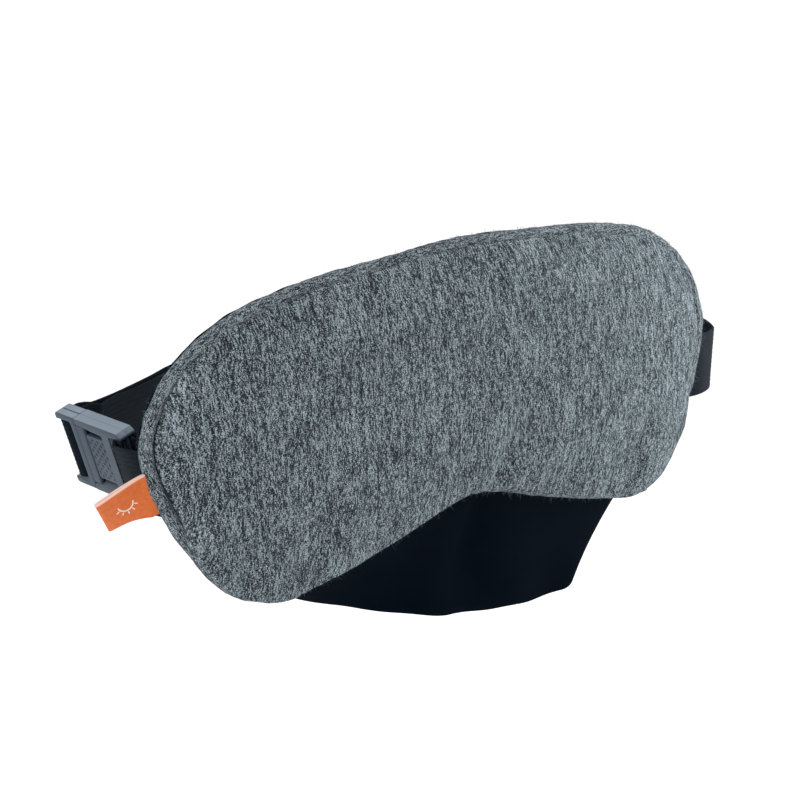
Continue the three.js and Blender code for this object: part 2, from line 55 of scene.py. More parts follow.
# ---------- camera ----------
CAMERA_PLACE = np.array([-405.4, -498.0, 168.0]) * MM
CAMERA_FORWARD = np.array([0.6163, 0.7449, -0.2554])
CAMERA_RIGHT = np.array([0.7627, -0.6454, -0.0422])
CAMERA_UP = np.array([0.1962, 0.1688, 0.9659])
CAMERA_LENS = 100.8
AIM_RIGHT, AIM_DOWN = 0.0307, 0.0038  # how far right of and below the middle the object's origin appears


def add_camera():
    """Camera aimed a little left of and above the origin, with no shift."""
    forward = CAMERA_FORWARD - CAMERA_RIGHT * AIM_RIGHT + CAMERA_UP * AIM_DOWN
    forward /= np.linalg.norm(forward)
    right = CAMERA_RIGHT - forward * (CAMERA_RIGHT @ forward)
    right /= np.linalg.norm(right)
    up = np.cross(right, forward)
    camera = bpy.data.objects.new("camera", bpy.data.cameras.new("camera"))
    scene.collection.objects.link(camera)
    turn = np.array([right, up, -forward]).T
    camera.matrix_world = Matrix.Translation(Vector(CAMERA_PLACE)) @ Matrix(turn.tolist()).to_4x4()
    camera.data.lens = CAMERA_LENS
    camera.data.sensor_width = 36.0
    camera.data.clip_start, camera.data.clip_end = 0.01, 20.0
    scene.camera = camera


add_camera()

# ---------- the mask's dimensions, in millimetres, as its solids have them ----------
BEND_RADIUS = 560.0
SEAM_Y = -8.0
FRONT_CROWN, BACK_CROWN, CROWN_RUN = 9.0, 8.0, 26.0
PANEL_INSET, LOW_INSET, TOP_INSET = 3.7, 0.7, 1.9  # inside the outline: at the sides, below, above
HUB_HEIGHT = 12.0
# Each nose fold's foot, lean from upright in radians, depth and reach.
CREASES = (((3.0, -24.0), 0.62, 2.5, 58.0), ((-3.0, -24.0), -0.5, 0.8, 30.0))
HALF_OUTLINE = [
    (0, 51.3), (28, 49.5), (57, 46.5), (82, 39.5), (100, 25.5), (107.5, 8),
    (103.5, -9), (96, -23), (85, -37), (70, -43), (52, -40), (27, -33), (9, -27.5),
]
NOTCH_BOTTOM = -26.2
WEB_WIDTH, WEB_THICK = 20.0, 1.2


WAVES_PER_OCTAVE = 5


def smooth_noise(points, scale, seed, octaves=2):
    """Smooth noise: a sum of sines of turned and scaled positions. Each octave is twice as fine and half
    as tall."""
    random = np.random.default_rng(seed)
    total = np.zeros(len(points))
    for octave in range(octaves):
        for _ in range(WAVES_PER_OCTAVE):
            direction = random.normal(size=points.shape[1])
            direction /= np.linalg.norm(direction)
            phase = random.uniform(0, 2 * np.pi)
            rate = random.uniform(0.6, 1.4) * 2**octave / scale
            total += np.sin(points @ direction * rate * 2 * np.pi + phase) / 2**octave
    return total / 4


def smooth_line(points, count, closed=False):
    """Centripetal Catmull-Rom curve through the points, sampled at even steps along its length."""
    p = np.asarray(points, float)
    if closed:
        p = np.vstack([p[-1], p, p[0], p[1]])
    else:
        p = np.vstack([2 * p[0] - p[1], p, 2 * p[-1] - p[-2]])
    fine = []
    for a, b, c, d in zip(p[:-3], p[1:-2], p[2:-1], p[3:]):
        gaps = [max(np.linalg.norm(v - u), 1e-9) ** 0.5 for u, v in ((a, b), (b, c), (c, d))]
        t0, t1 = 0.0, gaps[0]
        t2, t3 = t1 + gaps[1], t1 + gaps[1] + gaps[2]
        t = np.linspace(t1, t2, 25)[:-1, None]
        a1 = (t1 - t) / (t1 - t0) * a + (t - t0) / (t1 - t0) * b
        a2 = (t2 - t) / (t2 - t1) * b + (t - t1) / (t2 - t1) * c
        a3 = (t3 - t) / (t3 - t2) * c + (t - t2) / (t3 - t2) * d
        b1 = (t2 - t) / (t2 - t0) * a1 + (t - t0) / (t2 - t0) * a2
        b2 = (t3 - t) / (t3 - t1) * a2 + (t - t1) / (t3 - t1) * a3
        fine.append((t2 - t) / (t2 - t1) * b1 + (t - t1) / (t2 - t1) * b2)
    fine = np.vstack(fine + [p[-2:-1]])
    reach = np.concatenate([[0], np.cumsum(np.linalg.norm(np.diff(fine, axis=0), axis=1))])
    places = np.linspace(0, reach[-1], count + 1)[:-1] if closed else np.linspace(0, reach[-1], count)
    return np.stack([np.interp(places, reach, fine[:, k]) for k in range(fine.shape[1])], 1)


def bend(layout):
    """Layout (arc, depth, height) to a place: the arc runs round a vertical cylinder and the depth runs
    towards its axis."""
    angle = layout[:, 0] / BEND_RADIUS
    reach = BEND_RADIUS - layout[:, 1]
    return np.stack([np.sin(angle) * reach, SEAM_Y + BEND_RADIUS - np.cos(angle) * reach, layout[:, 2]], 1)


def unbend(places):
    """The inverse of bend."""
    across, towards = places[:, 0], BEND_RADIUS + SEAM_Y - places[:, 1]
    reach = np.hypot(across, towards)
    return np.stack([np.arctan2(across, towards) * BEND_RADIUS, BEND_RADIUS - reach, places[:, 2]], 1)


OUTLINE_SAMPLES = 960
outline_points = HALF_OUTLINE + [(0, NOTCH_BOTTOM)] + [(-x, z) for x, z in HALF_OUTLINE[:0:-1]]
outline = smooth_line(outline_points, OUTLINE_SAMPLES, closed=True)
ahead = np.roll(outline, -1, 0) - np.roll(outline, 1, 0)
ahead /= np.linalg.norm(ahead, axis=1)[:, None]
inward = np.stack([ahead[:, 1], -ahead[:, 0]], 1)


def outline_at(share, inset):
    """The outline moved inwards by inset, at shares of the way round; both are arrays."""
    place = (np.asarray(share) % 1) * OUTLINE_SAMPLES
    low = np.floor(place).astype(int) % OUTLINE_SAMPLES
    mix = (place - np.floor(place))[:, None]
    point = outline[low] * (1 - mix) + outline[(low + 1) % OUTLINE_SAMPLES] * mix
    normal = inward[low] * (1 - mix) + inward[(low + 1) % OUTLINE_SAMPLES] * mix
    normal /= np.linalg.norm(normal, axis=1)[:, None]
    return point + normal * np.asarray(inset)[..., None]


LOW_START, LOW_RUN = -12, 14  # the height where the low part starts, and how far down it takes to be full
HIGH_START, HIGH_RUN = 16, 24  # the same for the high part, upwards


def eased(amount):
    """Smoothstep: the amount is held within 0 to 1 and leaves both ends gently."""
    share = np.clip(amount, 0, 1)
    return share * share * (3 - 2 * share)


def low_share(height):
    """1 where the outline is low, under the lobes and the nose, and 0 from the sides upwards."""
    return eased((LOW_START - height) / LOW_RUN)


def panel_inset(height):
    """The panel swells over its rim along the lower edge, nearly does along the top, and shows it at the
    ends."""
    high = eased((height - HIGH_START) / HIGH_RUN)
    return PANEL_INSET + (LOW_INSET - PANEL_INSET) * low_share(height) + (TOP_INSET - PANEL_INSET) * high


def edge_distance(flat):
    """Distance of (arc, height) points from the outline."""
    nearest = np.full(len(flat), np.inf)
    for start in range(0, OUTLINE_SAMPLES, 60):
        part = outline[start:start + 60]
        nearest = np.minimum(nearest, np.linalg.norm(flat[:, None] - part[None], axis=2).min(1))
    return nearest


# ---------- mesh helpers ----------
def grid_faces(rows, columns, wrap_rows=False, wrap_columns=False):
    """Quads of a grid of rows by columns vertices, stored row by row."""
    row = np.arange(rows if wrap_rows else rows - 1)[:, None]
    column = np.arange(columns if wrap_columns else columns - 1)[None]
    next_row, next_column = (row + 1) % rows, (column + 1) % columns
    corners = [row * columns + column, row * columns + next_column,
               next_row * columns + next_column, next_row * columns + column]
    return np.stack(np.broadcast_arrays(*corners), -1).reshape(-1, 4)


def make_mesh(name, places, faces, uv=None, smooth=True):
    """A mesh object from places in millimetres, faces as index lists, and an optional UV for each vertex."""
    mesh = bpy.data.meshes.new(name)
    mesh.from_pydata((np.asarray(places) * MM).tolist(), [], [list(map(int, f)) for f in faces])
    mesh.validate()
    if uv is not None:
        set_uv(mesh, uv)
    mesh.shade_smooth() if smooth else mesh.shade_flat()
    piece = bpy.data.objects.new(name, mesh)
    scene.collection.objects.link(piece)
    return piece


def set_uv(mesh, uv):
    """Puts a UV per vertex on every corner of the mesh."""
    layer = mesh.uv_layers.get("UVMap") or mesh.uv_layers.new(name="UVMap")
    corner = np.zeros(len(mesh.loops), np.int32)
    mesh.loops.foreach_get("vertex_index", corner)
    layer.data.foreach_set("uv", np.asarray(uv, np.float32)[corner].ravel())


def places_of(piece):
    """The vertex places of a mesh object, in millimetres."""
    co = np.zeros(len(piece.data.vertices) * 3, np.float32)
    piece.data.vertices.foreach_get("co", co)
    return co.reshape(-1, 3).astype(float) / MM


def set_places(piece, places):
    """Writes vertex places, in millimetres."""
    piece.data.vertices.foreach_set("co", (np.asarray(places) * MM).astype(np.float32).ravel())
    piece.data.update()


def join_pieces(name, pieces):
    """Joins mesh objects into one with the given name."""
    with bpy.context.temp_override(active_object=pieces[0], selected_editable_objects=pieces):
        bpy.ops.object.join()
    pieces[0].name = name
    pieces[0].data.name = name
    return pieces[0]


def apply_modifiers(piece):
    """Turns the piece's modifiers into its mesh."""
    depsgraph = bpy.context.evaluated_depsgraph_get()
    mesh = bpy.data.meshes.new_from_object(piece.evaluated_get(depsgraph))
    piece.modifiers.clear()
    piece.data = mesh
    return piece


def finish_piece(piece, material, body, slot, *replaced):
    """Material, body and the solids that the piece stands for, which are hidden. The slot is not used."""
    piece.data.materials.clear()
    piece.data.materials.append(material)
    if body:
        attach(piece, body)
    if replaced:
        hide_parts(*replaced)
    return piece


# ---------- node helpers ----------
class Net:
    """Short calls that add and link shader nodes in one node tree."""

    def __init__(self, tree):
        self.tree = tree

    def put(self, socket, value):
        """Links a socket or sets a constant."""
        if isinstance(value, bpy.types.NodeSocket):
            self.tree.links.new(value, socket)
        elif value is not None:
            socket.default_value = value

    def node(self, kind, inputs=None, **settings):
        """Adds a node, sets its properties, and feeds its inputs by name or index."""
        made = self.tree.nodes.new(kind)
        for key, value in settings.items():
            setattr(made, key, value)
        for key, value in (inputs or {}).items():
            self.put(made.inputs[key], value)
        return made

    def math(self, operation, a, b=None, c=None):
        """One Math node."""
        made = self.node("ShaderNodeMath", operation=operation)
        for socket, value in zip(made.inputs, (a, b, c)):
            self.put(socket, value)
        return made.outputs[0]

    def plus(self, a, b):
        return self.math("ADD", a, b)

    def minus(self, a, b):
        return self.math("SUBTRACT", a, b)

    def times(self, a, b):
        return self.math("MULTIPLY", a, b)

    def apart(self, a, b):
        """How far two values lie from each other."""
        return self.math("ABSOLUTE", self.minus(a, b))

    def split(self, vector):
        """The X, Y and Z outputs of a vector."""
        return self.node("ShaderNodeSeparateXYZ", {0: vector}).outputs

    def rescale(self, value, low, high, to_low=0.0, to_high=1.0):
        """A value moved from one range to another and held there."""
        inputs = {0: value, 1: low, 2: high, 3: to_low, 4: to_high}
        return self.node("ShaderNodeMapRange", inputs).outputs[0]

    def mix(self, factor, a, b, blend="MIX"):
        """A colour mix."""
        made = self.node("ShaderNodeMix", data_type="RGBA", blend_type=blend)
        self.put(made.inputs["Factor"], factor)
        self.put(made.inputs["A"], a)
        self.put(made.inputs["B"], b)
        return made.outputs["Result"]

    def ramp(self, value, stops):
        """A colour ramp with (position, colour) stops."""
        made = self.node("ShaderNodeValToRGB", {"Fac": value})
        ramp = made.color_ramp
        while len(ramp.elements) < len(stops):
            ramp.elements.new(0.5)
        for element, (position, colour) in zip(ramp.elements, stops):
            element.position = position
            element.color = (*colour, 1) if len(colour) == 3 else colour
        return made.outputs["Color"]

    def noise(self, vector, scale, detail=2.0, roughness=0.5):
        """A noise value from 0 to 1."""
        inputs = {"Vector": vector, "Scale": scale, "Detail": detail, "Roughness": roughness}
        return self.node("ShaderNodeTexNoise", inputs).outputs[0]

    def stretch(self, vector, scale):
        """A vector multiplied axis by axis."""
        made = self.node("ShaderNodeVectorMath", {0: vector, 1: scale}, operation="MULTIPLY")
        return made.outputs[0]


def make_group(name, inputs, outputs):
    """A shader node group with float, colour or vector sockets. Returns its tree, its Net, and its input and
    output nodes."""
    tree = bpy.data.node_groups.new(name, "ShaderNodeTree")
    kinds = {"f": "NodeSocketFloat", "c": "NodeSocketColor", "v": "NodeSocketVector"}
    for direction, sockets in (("INPUT", inputs), ("OUTPUT", outputs)):
        for socket, kind, *default in sockets:
            made = tree.interface.new_socket(socket, in_out=direction, socket_type=kinds[kind])
            if default:
                made.default_value = default[0]
    net = Net(tree)
    return tree, net, net.node("NodeGroupInput"), net.node("NodeGroupOutput")


def new_material(name, roughness=0.6, metallic=0.0, sheen=0.0, sheen_rough=0.5, specular=0.5):
    """A material with a Principled shader whose constants sit on its own sockets."""
    material = bpy.data.materials.new(name)
    material.use_nodes = True
    net = Net(material.node_tree)
    shader = material.node_tree.nodes["Principled BSDF"]
    shader.inputs["Roughness"].default_value = roughness
    shader.inputs["Metallic"].default_value = metallic
    shader.inputs["Sheen Weight"].default_value = sheen
    shader.inputs["Sheen Roughness"].default_value = sheen_rough
    shader.inputs["Sheen Tint"].default_value = (0.55, 0.8, 1.0, 1)
    shader.inputs["Specular IOR Level"].default_value = specular
    return material, net, shader


def bump(net, shader, height, strength, distance):
    """A bump from a height in front of the shader."""
    made = net.node("ShaderNodeBump", {"Height": height, "Strength": strength, "Distance": distance})
    net.put(shader.inputs["Normal"], made.outputs[0])


# ---------- shared patterns ----------
def jersey_group():
    """Knitted jersey. Each wale holds a column of V stitches: a stitch's height is a sine along a leg that
    slants up from the wale's middle, times a round profile across the leg. Colour mixes dark and light fibres
    by stitch, by short fibre noise and by long streaks that run with the wales, and it is painted darker where
    the stitch is low, as shade between the legs."""
    tree, net, given, out = make_group(
        "jersey_knit",
        [("Vector", "v"), ("Wale", "f", 0.6), ("Course", "f", 0.75), ("Dark", "c"), ("Light", "c"),
         ("Streaks", "f", 0.5), ("Speckle", "f", 1.0), ("Middle", "f", 0.5)],
        [("Color", "c"), ("Height", "f")],
    )
    vector = given.outputs["Vector"]
    wander = net.node("ShaderNodeTexNoise", {"Vector": vector, "Scale": 0.09, "Detail": 1.0}).outputs["Color"]
    wobble = net.stretch(wander, (1.6, 1.6, 0.0))
    moved = net.node("ShaderNodeVectorMath", {0: vector, 1: wobble}, operation="ADD").outputs[0]
    split = net.split(moved)
    wale = net.math("DIVIDE", split[0], given.outputs["Wale"])
    inside = net.apart(net.math("FRACT", wale), 0.5)
    slant = net.times(inside, 1.5)
    course = net.minus(net.math("DIVIDE", split[1], given.outputs["Course"]), slant)
    along = net.math("ABSOLUTE", net.math("SINE", net.times(course, math.pi)))
    leg = net.minus(1.0, net.apart(net.times(inside, 4.0), 1.0))
    across = net.math("POWER", net.math("MAXIMUM", leg, 0.0), 0.5)
    height = net.times(across, net.math("POWER", net.math("MAXIMUM", along, 0.001), 0.6))
    cell = net.node("ShaderNodeCombineXYZ", {0: net.math("FLOOR", net.times(wale, 2.0)),
                                             1: net.math("FLOOR", course)})
    random = net.node("ShaderNodeTexWhiteNoise", {"Vector": cell.outputs[0]}, noise_dimensions="2D")
    stitch = random.outputs[0]
    fibre = net.noise(net.stretch(vector, (0.8, 1.35, 1.0)), 2.7, 2.5, 0.7)
    streak = net.noise(net.stretch(vector, (1.0, 0.14, 1.0)), 0.7, 3.5, 0.65)
    cloud = net.noise(vector, 0.05, 2.0)
    speckle, streaks = given.outputs["Speckle"], given.outputs["Streaks"]
    wide = net.times(net.minus(fibre, 0.5), net.times(speckle, 2.6))
    grain = net.times(net.minus(stitch, 0.5), net.times(speckle, 0.55))
    runs = net.times(net.minus(streak, 0.5), net.times(streaks, 1.8))
    drift = net.times(net.minus(cloud, 0.5), 0.5)
    value = net.plus(net.plus(wide, grain), net.plus(runs, drift))
    value = net.plus(value, given.outputs["Middle"])
    # Painted shade: the colour is multiplied down to 0.35 where the stitch is low, for the shade between the
    # stitch legs.
    shade = net.rescale(height, 0.0, 0.8, 0.35, 1.0)
    clamped = net.node("ShaderNodeClamp", {0: value}).outputs[0]
    colour = net.mix(clamped, given.outputs["Dark"], given.outputs["Light"])
    grey = net.node("ShaderNodeCombineColor", {0: shade, 1: shade, 2: shade}).outputs[0]
    net.put(out.inputs["Color"], net.mix(1.0, colour, grey, "MULTIPLY"))
    fuzz = net.times(fibre, 0.5)
    net.put(out.inputs["Height"], net.plus(height, fuzz))
    return tree


def use_group(net, group, **values):
    """Places a node group with its own values."""
    made = net.node("ShaderNodeGroup", node_tree=group)
    for key, value in values.items():
        net.put(made.inputs[key.replace("_", " ")], value)
    return made


jersey = jersey_group()


def uv_vector(net):
    """The piece's own UV, which counts in millimetres."""
    return net.node("ShaderNodeUVMap", uv_map="UVMap").outputs[0]


def knit_material(name, dark, light, middle, wale=0.62, course=0.8, streaks=0.9, speckle=1.0, depth=0.00035,
                  sheen=0.25, specular=0.15):
    """A knitted cloth."""
    material, net, shader = new_material(
        name, roughness=0.95, sheen=sheen, sheen_rough=0.6, specular=specular)
    cloth = use_group(net, jersey, Vector=uv_vector(net), Wale=wale, Course=course, Dark=(*dark, 1),
                      Light=(*light, 1), Streaks=streaks, Speckle=speckle, Middle=middle)
    net.put(shader.inputs["Base Color"], cloth.outputs["Color"])
    bump(net, shader, cloth.outputs["Height"], 0.8, depth)
    return material


DARK_YARN = (0.004, 0.008, 0.012)
heather_knit = knit_material(
    "heathered_grey_knit", DARK_YARN, (0.43, 0.515, 0.56), 0.21, speckle=2.3, streaks=1.2, sheen=0.06)
# Painted light: the rim's copy of the knit is paler (Middle 0.31 against 0.21, and a paler light yarn) to make
# up for the shade on its rounded surface and the light its fuzz catches.
rim_knit = knit_material(
    "heathered_rim_knit", DARK_YARN, (0.46, 0.545, 0.59), 0.31, speckle=1.9, streaks=0.6, sheen=0.06)
lining_jersey = knit_material(
    "black_lining_jersey", (0.0003, 0.0014, 0.0045), (0.0022, 0.0062, 0.012), 0.45, wale=0.4, course=0.45,
    streaks=0.2, speckle=0.3, depth=0.00012, sheen=0.005, specular=0.015)


def webbing_material():
    """Near-black elastic webbing: fine picks across the ribs that the mesh itself has."""
    material, net, shader = new_material(
        "black_elastic_webbing", roughness=0.75, sheen=0.006, sheen_rough=0.4, specular=0.06)
    vector = uv_vector(net)
    split = net.split(vector)
    picks = net.math("SINE", net.times(split[0], 2 * math.pi / 0.55))
    warps = net.math("SINE", net.times(split[1], 2 * math.pi / 0.5))
    weave = net.times(picks, warps)
    tone = net.noise(net.stretch(vector, (0.3, 1.6, 1.0)), 0.8, 3.0, 0.6)
    colour = net.ramp(tone, [(0.3, (0.0008, 0.0032, 0.0062)), (0.7, (0.0032, 0.008, 0.0135))])
    net.put(shader.inputs["Base Color"], colour)
    bump(net, shader, net.plus(weave, net.times(tone, 0.8)), 0.5, 0.00012)
    return material


elastic_webbing = webbing_material()


# Millimetres along and up the buckle, from its centre.
WINDOW_MIDDLE, WINDOW_HALF_LENGTH, WINDOW_HALF_HEIGHT = -1.22, 4.52, 9.33
PITS_MIDDLE, PITS_HALF_LENGTH, PITS_HALF_HEIGHT = -1.2, 3.7, 6.4
PIT_COLUMN, PIT_ROW, PIT_SIZE = 1.28, 2.5, 0.68


def window_shade_mask(net):
    """1 inside the buckle's middle window, where the colour is painted near black as shade round the tongue.
    """
    place = net.split(uv_vector(net))
    across = net.math("LESS_THAN", net.apart(place[0], WINDOW_MIDDLE), WINDOW_HALF_LENGTH)
    return net.times(across, net.math("LESS_THAN", net.math("ABSOLUTE", place[1]), WINDOW_HALF_HEIGHT))


def plastic_material():
    """Satin moulded plastic with a fine texture, painted paler on what faces up in place of light from above,
    and painted near black as shade inside the middle window.
    """
    material, net, shader = new_material("grey_blue_moulded_plastic", roughness=0.5, specular=0.22)
    vector = net.node("ShaderNodeTexCoord").outputs["Object"]
    fine = net.noise(vector, 2600.0, 3.0, 0.6)
    broad = net.noise(vector, 90.0, 3.0)
    colour = net.ramp(broad, [(0.3, (0.029, 0.043, 0.062)), (0.7, (0.040, 0.057, 0.080))])
    # Painted light: up-facing faces are mixed towards a pale blue-grey, patchy with the broad noise, in place
    # of the light that falls on them from above.
    facing = net.split(net.node("ShaderNodeTexCoord").outputs["Normal"])[2]
    upward = net.rescale(facing, 0.45, 0.9)
    painted_top_light = net.times(upward, net.plus(net.times(broad, 0.3), 0.75))
    colour = net.mix(painted_top_light, colour, (0.17, 0.205, 0.25, 1))
    # Painted shade: inside the middle window the colour is near black, standing in for the shade in the recess
    # round the tongue.
    net.put(shader.inputs["Base Color"], net.mix(window_shade_mask(net), colour, (0.008, 0.011, 0.016, 1)))
    rough = net.rescale(broad, 0.3, 0.7, 0.42, 0.58)
    net.put(shader.inputs["Roughness"], rough)
    bump(net, shader, fine, 0.25, 0.00004)
    return material


buckle_plastic = plastic_material()


def tongue_material():
    """The buckle's plastic with rows of small diamond pits, staggered from column to column, painted near
    black as shade inside them.
    """
    material = buckle_plastic.copy()
    material.name = "dimpled_tongue_plastic"
    net = Net(material.node_tree)
    shader = material.node_tree.nodes["Principled BSDF"]
    place = net.split(uv_vector(net))
    column = net.math("DIVIDE", place[0], PIT_COLUMN)
    odd = net.times(net.math("FLOORED_MODULO", net.math("FLOOR", column), 2.0), 0.5)
    row = net.plus(net.math("DIVIDE", place[1], PIT_ROW), odd)
    aside = net.apart(net.math("FRACT", column), 0.5)
    above = net.apart(net.math("FRACT", row), 0.5)
    reach = net.plus(net.times(aside, PIT_COLUMN), net.times(above, PIT_ROW))
    pit = net.rescale(reach, PIT_SIZE, PIT_SIZE * 0.6)
    inside = net.math("LESS_THAN", net.math("ABSOLUTE", place[1]), PITS_HALF_HEIGHT)
    across = net.math("LESS_THAN", net.apart(place[0], PITS_MIDDLE), PITS_HALF_LENGTH)
    pit = net.times(pit, net.times(inside, across))
    plain = (0.040, 0.058, 0.082, 1)
    # Painted shade: the pits are near black, for the shade inside them.
    net.put(shader.inputs["Base Color"], net.mix(pit, plain, (0.004, 0.006, 0.01, 1)))
    bump(net, shader, net.minus(1.0, pit), 1.0, 0.0004)
    return material


def plain_material(name, colour, roughness, metallic=0.0, grain=900.0, spread=0.25, depth=0.00003):
    """A small part's finish: its colour wavers a little, and a fine grain roughens it."""
    material, net, shader = new_material(name, roughness=roughness, metallic=metallic)
    vector = net.node("ShaderNodeTexCoord").outputs["Object"]
    broad = net.noise(vector, 120.0, 3.0)
    fine = net.noise(vector, grain, 3.0, 0.6)
    low = tuple(c * (1 - spread) for c in colour)
    high = tuple(min(1.0, c * (1 + spread)) for c in colour)
    net.put(shader.inputs["Base Color"], net.ramp(broad, [(0.3, low), (0.7, high)]))
    bump(net, shader, fine, 0.4, depth)
    return material


inner_finishes = {
    "foam": plain_material("open_cell_foam", (0.68, 0.66, 0.58), 0.95, grain=1500.0, depth=0.0002),
    "film": plain_material("heater_film_finish", (0.03, 0.03, 0.035), 0.45),
    "copper": plain_material("bronze_weight", (0.62, 0.36, 0.18), 0.35, 1.0),
    "steel": plain_material("drawn_steel", (0.6, 0.6, 0.62), 0.3, 1.0),
    "silicone": plain_material("soft_silicone", (0.02, 0.022, 0.025), 0.55),
    "board": plain_material("circuit_board", (0.02, 0.13, 0.05), 0.4),
    "lead": plain_material("red_lead_insulation", (0.38, 0.02, 0.015), 0.45),
    "inlet": plain_material("black_moulding", (0.02, 0.021, 0.023), 0.4),
}
slot_of = {row["node"]: row["material_slot"] for row in frame["record"]["subparts"]}
for name, node in nodes.items():
    finish = inner_finishes.get(slot_of[name], buckle_plastic)
    node.data.materials.clear()
    node.data.materials.append(finish)

slider_edges = nodes["strap_slider"].modifiers.new("rounded_edges", "BEVEL")
slider_edges.width, slider_edges.segments = 0.25 * MM, 3
slider_edges.limit_method = "ANGLE"

# ---------- padded panels ----------
PANEL_COLUMNS, PANEL_ROWS = 150, 76


def crown(distance):
    """0 at the panel's edge, 1 from the crown's run inwards, like the side of a cushion."""
    share = np.clip(distance / CROWN_RUN, 0, 1)
    return np.sqrt(1 - (1 - share) ** 2)


def panel_layout(low_too, columns=PANEL_COLUMNS, rows=PANEL_ROWS):
    """A square grid pulled round into a disc, and the disc stretched to the outline: a point at share t of
    the way round and r of the way out lies r of the way from the hub to the outline there."""
    a, b = np.meshgrid(np.linspace(-1, 1, columns), np.linspace(-1, 1, rows))
    x, y = (a * np.sqrt(1 - b**2 / 2)).ravel(), (b * np.sqrt(1 - a**2 / 2)).ravel()
    radius = np.minimum(np.hypot(x, y), 1.0)
    share = np.arctan2(x, y) / (2 * np.pi)
    height = outline_at(share, np.zeros(len(share)))[:, 1]
    inset = panel_inset(height) if low_too else np.full(len(share), PANEL_INSET)
    edge = outline_at(share, inset)
    hub = np.array([0, HUB_HEIGHT])
    return hub + (edge - hub) * radius[:, None]


def panel_rim_index(columns, rows):
    """Indices of a grid's border vertices."""
    index = np.arange(columns * rows).reshape(rows, columns)
    return np.unique(np.concatenate([index[0], index[-1], index[:, 0], index[:, -1]]))


def eye_shape(flat, middle_arc, run_arc, middle_height, run_height):
    """1 at the middle of each eye, falling away like a bell along the arc and up and down."""
    aside = (np.abs(flat[:, 0]) - middle_arc) / run_arc
    return np.exp(-(aside ** 2 + ((flat[:, 1] - middle_height) / run_height) ** 2))


def front_depth(flat):
    """Depth of the front panel before the cloth pass: a crown, folded at the nose, that rises at each eye."""
    distance = edge_distance(flat) - panel_inset(flat[:, 1])
    lip = 0.35 + 1.45 * low_share(flat[:, 1])
    depth = -(lip + (FRONT_CROWN - lip) * crown(distance))
    eyes = eye_shape(flat, 52, 34, 2, 24)
    return depth + (nose_crease(flat) - 0.7 * eyes) * crown(distance)


def nose_crease(flat):
    """Depth of the soft folds that climb from the nose. Each is a rounded valley with raised lips about a
    slanted line, and it widens and fades as it climbs."""
    total = np.zeros(len(flat))
    for foot, lean, depth, reach in CREASES:
        run = np.array([math.sin(lean), math.cos(lean)])
        along = (flat - foot) @ run
        aside = (flat - foot) @ np.array([run[1], -run[0]])
        width = 3.4 + 0.14 * np.maximum(along, 0)
        fade = np.clip(1 - along / reach, 0, 1) * np.clip(1 + along / 14, 0, 1)
        valley = np.exp(-((aside / width) ** 2))
        lips = np.exp(-(((np.abs(aside) - 1.9 * width) / width) ** 2))
        total += depth * fade * (valley - 0.5 * lips)
    return total


def back_depth(flat):
    """Depth of the skin panel: a crown with a shallow hollow over each eye."""
    distance = edge_distance(flat) - PANEL_INSET
    depth = 0.6 + (BACK_CROWN - 0.6) * crown(distance)
    eyes = eye_shape(flat, 44, 26, 4, 18)
    return depth - 0.9 * eyes * crown(distance)


def cushion(name, depth_of, side):
    """A closed pad: the outer grid at its depth and an inner grid near the seam, stitched round the
    border."""
    flat = panel_layout(side < 0)
    columns, rows = PANEL_COLUMNS, PANEL_ROWS
    outer = np.stack([flat[:, 0], depth_of(flat), flat[:, 1]], 1)
    inner = np.stack([flat[:, 0], np.full(len(flat), 0.35 * side), flat[:, 1]], 1)
    border = panel_rim_index(columns, rows)
    is_border = np.zeros(len(flat), bool)
    is_border[border] = True
    number = np.full(len(flat), -1)
    number[~is_border] = np.arange((~is_border).sum()) + len(flat)
    number[is_border] = np.where(is_border)[0]
    faces = grid_faces(rows, columns)
    back = number[faces]
    faces, back = (faces, back[:, ::-1]) if side < 0 else (faces[:, ::-1], back)
    layout = np.vstack([outer, inner[~is_border]])
    piece = make_mesh(name, bend(layout), np.vstack([faces, back]))
    return piece, len(flat), border


def blow_up(piece, outer_count, border, pressure, growth, cap, frames=20):
    """Cloth pass: the border and the inner grid are held, the cloth is a little too large and is under
    pressure, so that it wrinkles softly. The move of a point is capped, then written into the mesh."""
    rest = places_of(piece)
    held = piece.vertex_groups.new(name="held")
    pinned = sorted(set(border.tolist()) | set(range(outer_count, len(rest))))
    held.add(pinned, 1.0, "REPLACE")
    cloth = piece.modifiers.new("cloth", "CLOTH")
    settings = cloth.settings
    settings.vertex_group_mass = "held"
    settings.quality = 6
    settings.mass = 0.15
    settings.tension_stiffness = settings.compression_stiffness = 12
    settings.shear_stiffness = 6
    settings.bending_stiffness = 0.35
    settings.use_pressure = True
    settings.uniform_pressure_force = pressure
    settings.shrink_min = -growth
    settings.effector_weights.gravity = 0
    cloth.collision_settings.use_collision = False
    scene.frame_start, scene.frame_end = 1, frames
    for number in range(1, frames + 1):
        scene.frame_set(number)
    depsgraph = bpy.context.evaluated_depsgraph_get()
    blown = bpy.data.meshes.new_from_object(piece.evaluated_get(depsgraph))
    co = np.zeros(len(blown.vertices) * 3, np.float32)
    blown.vertices.foreach_get("co", co)
    moved = co.reshape(-1, 3) / MM - rest
    piece.modifiers.clear()
    piece.vertex_groups.clear()
    bpy.data.meshes.remove(blown)
    scene.frame_set(1)
    length = np.linalg.norm(moved, axis=1)
    scale = np.minimum(1.0, cap / np.maximum(length, 1e-9))
    set_places(piece, rest + moved * scale[:, None])


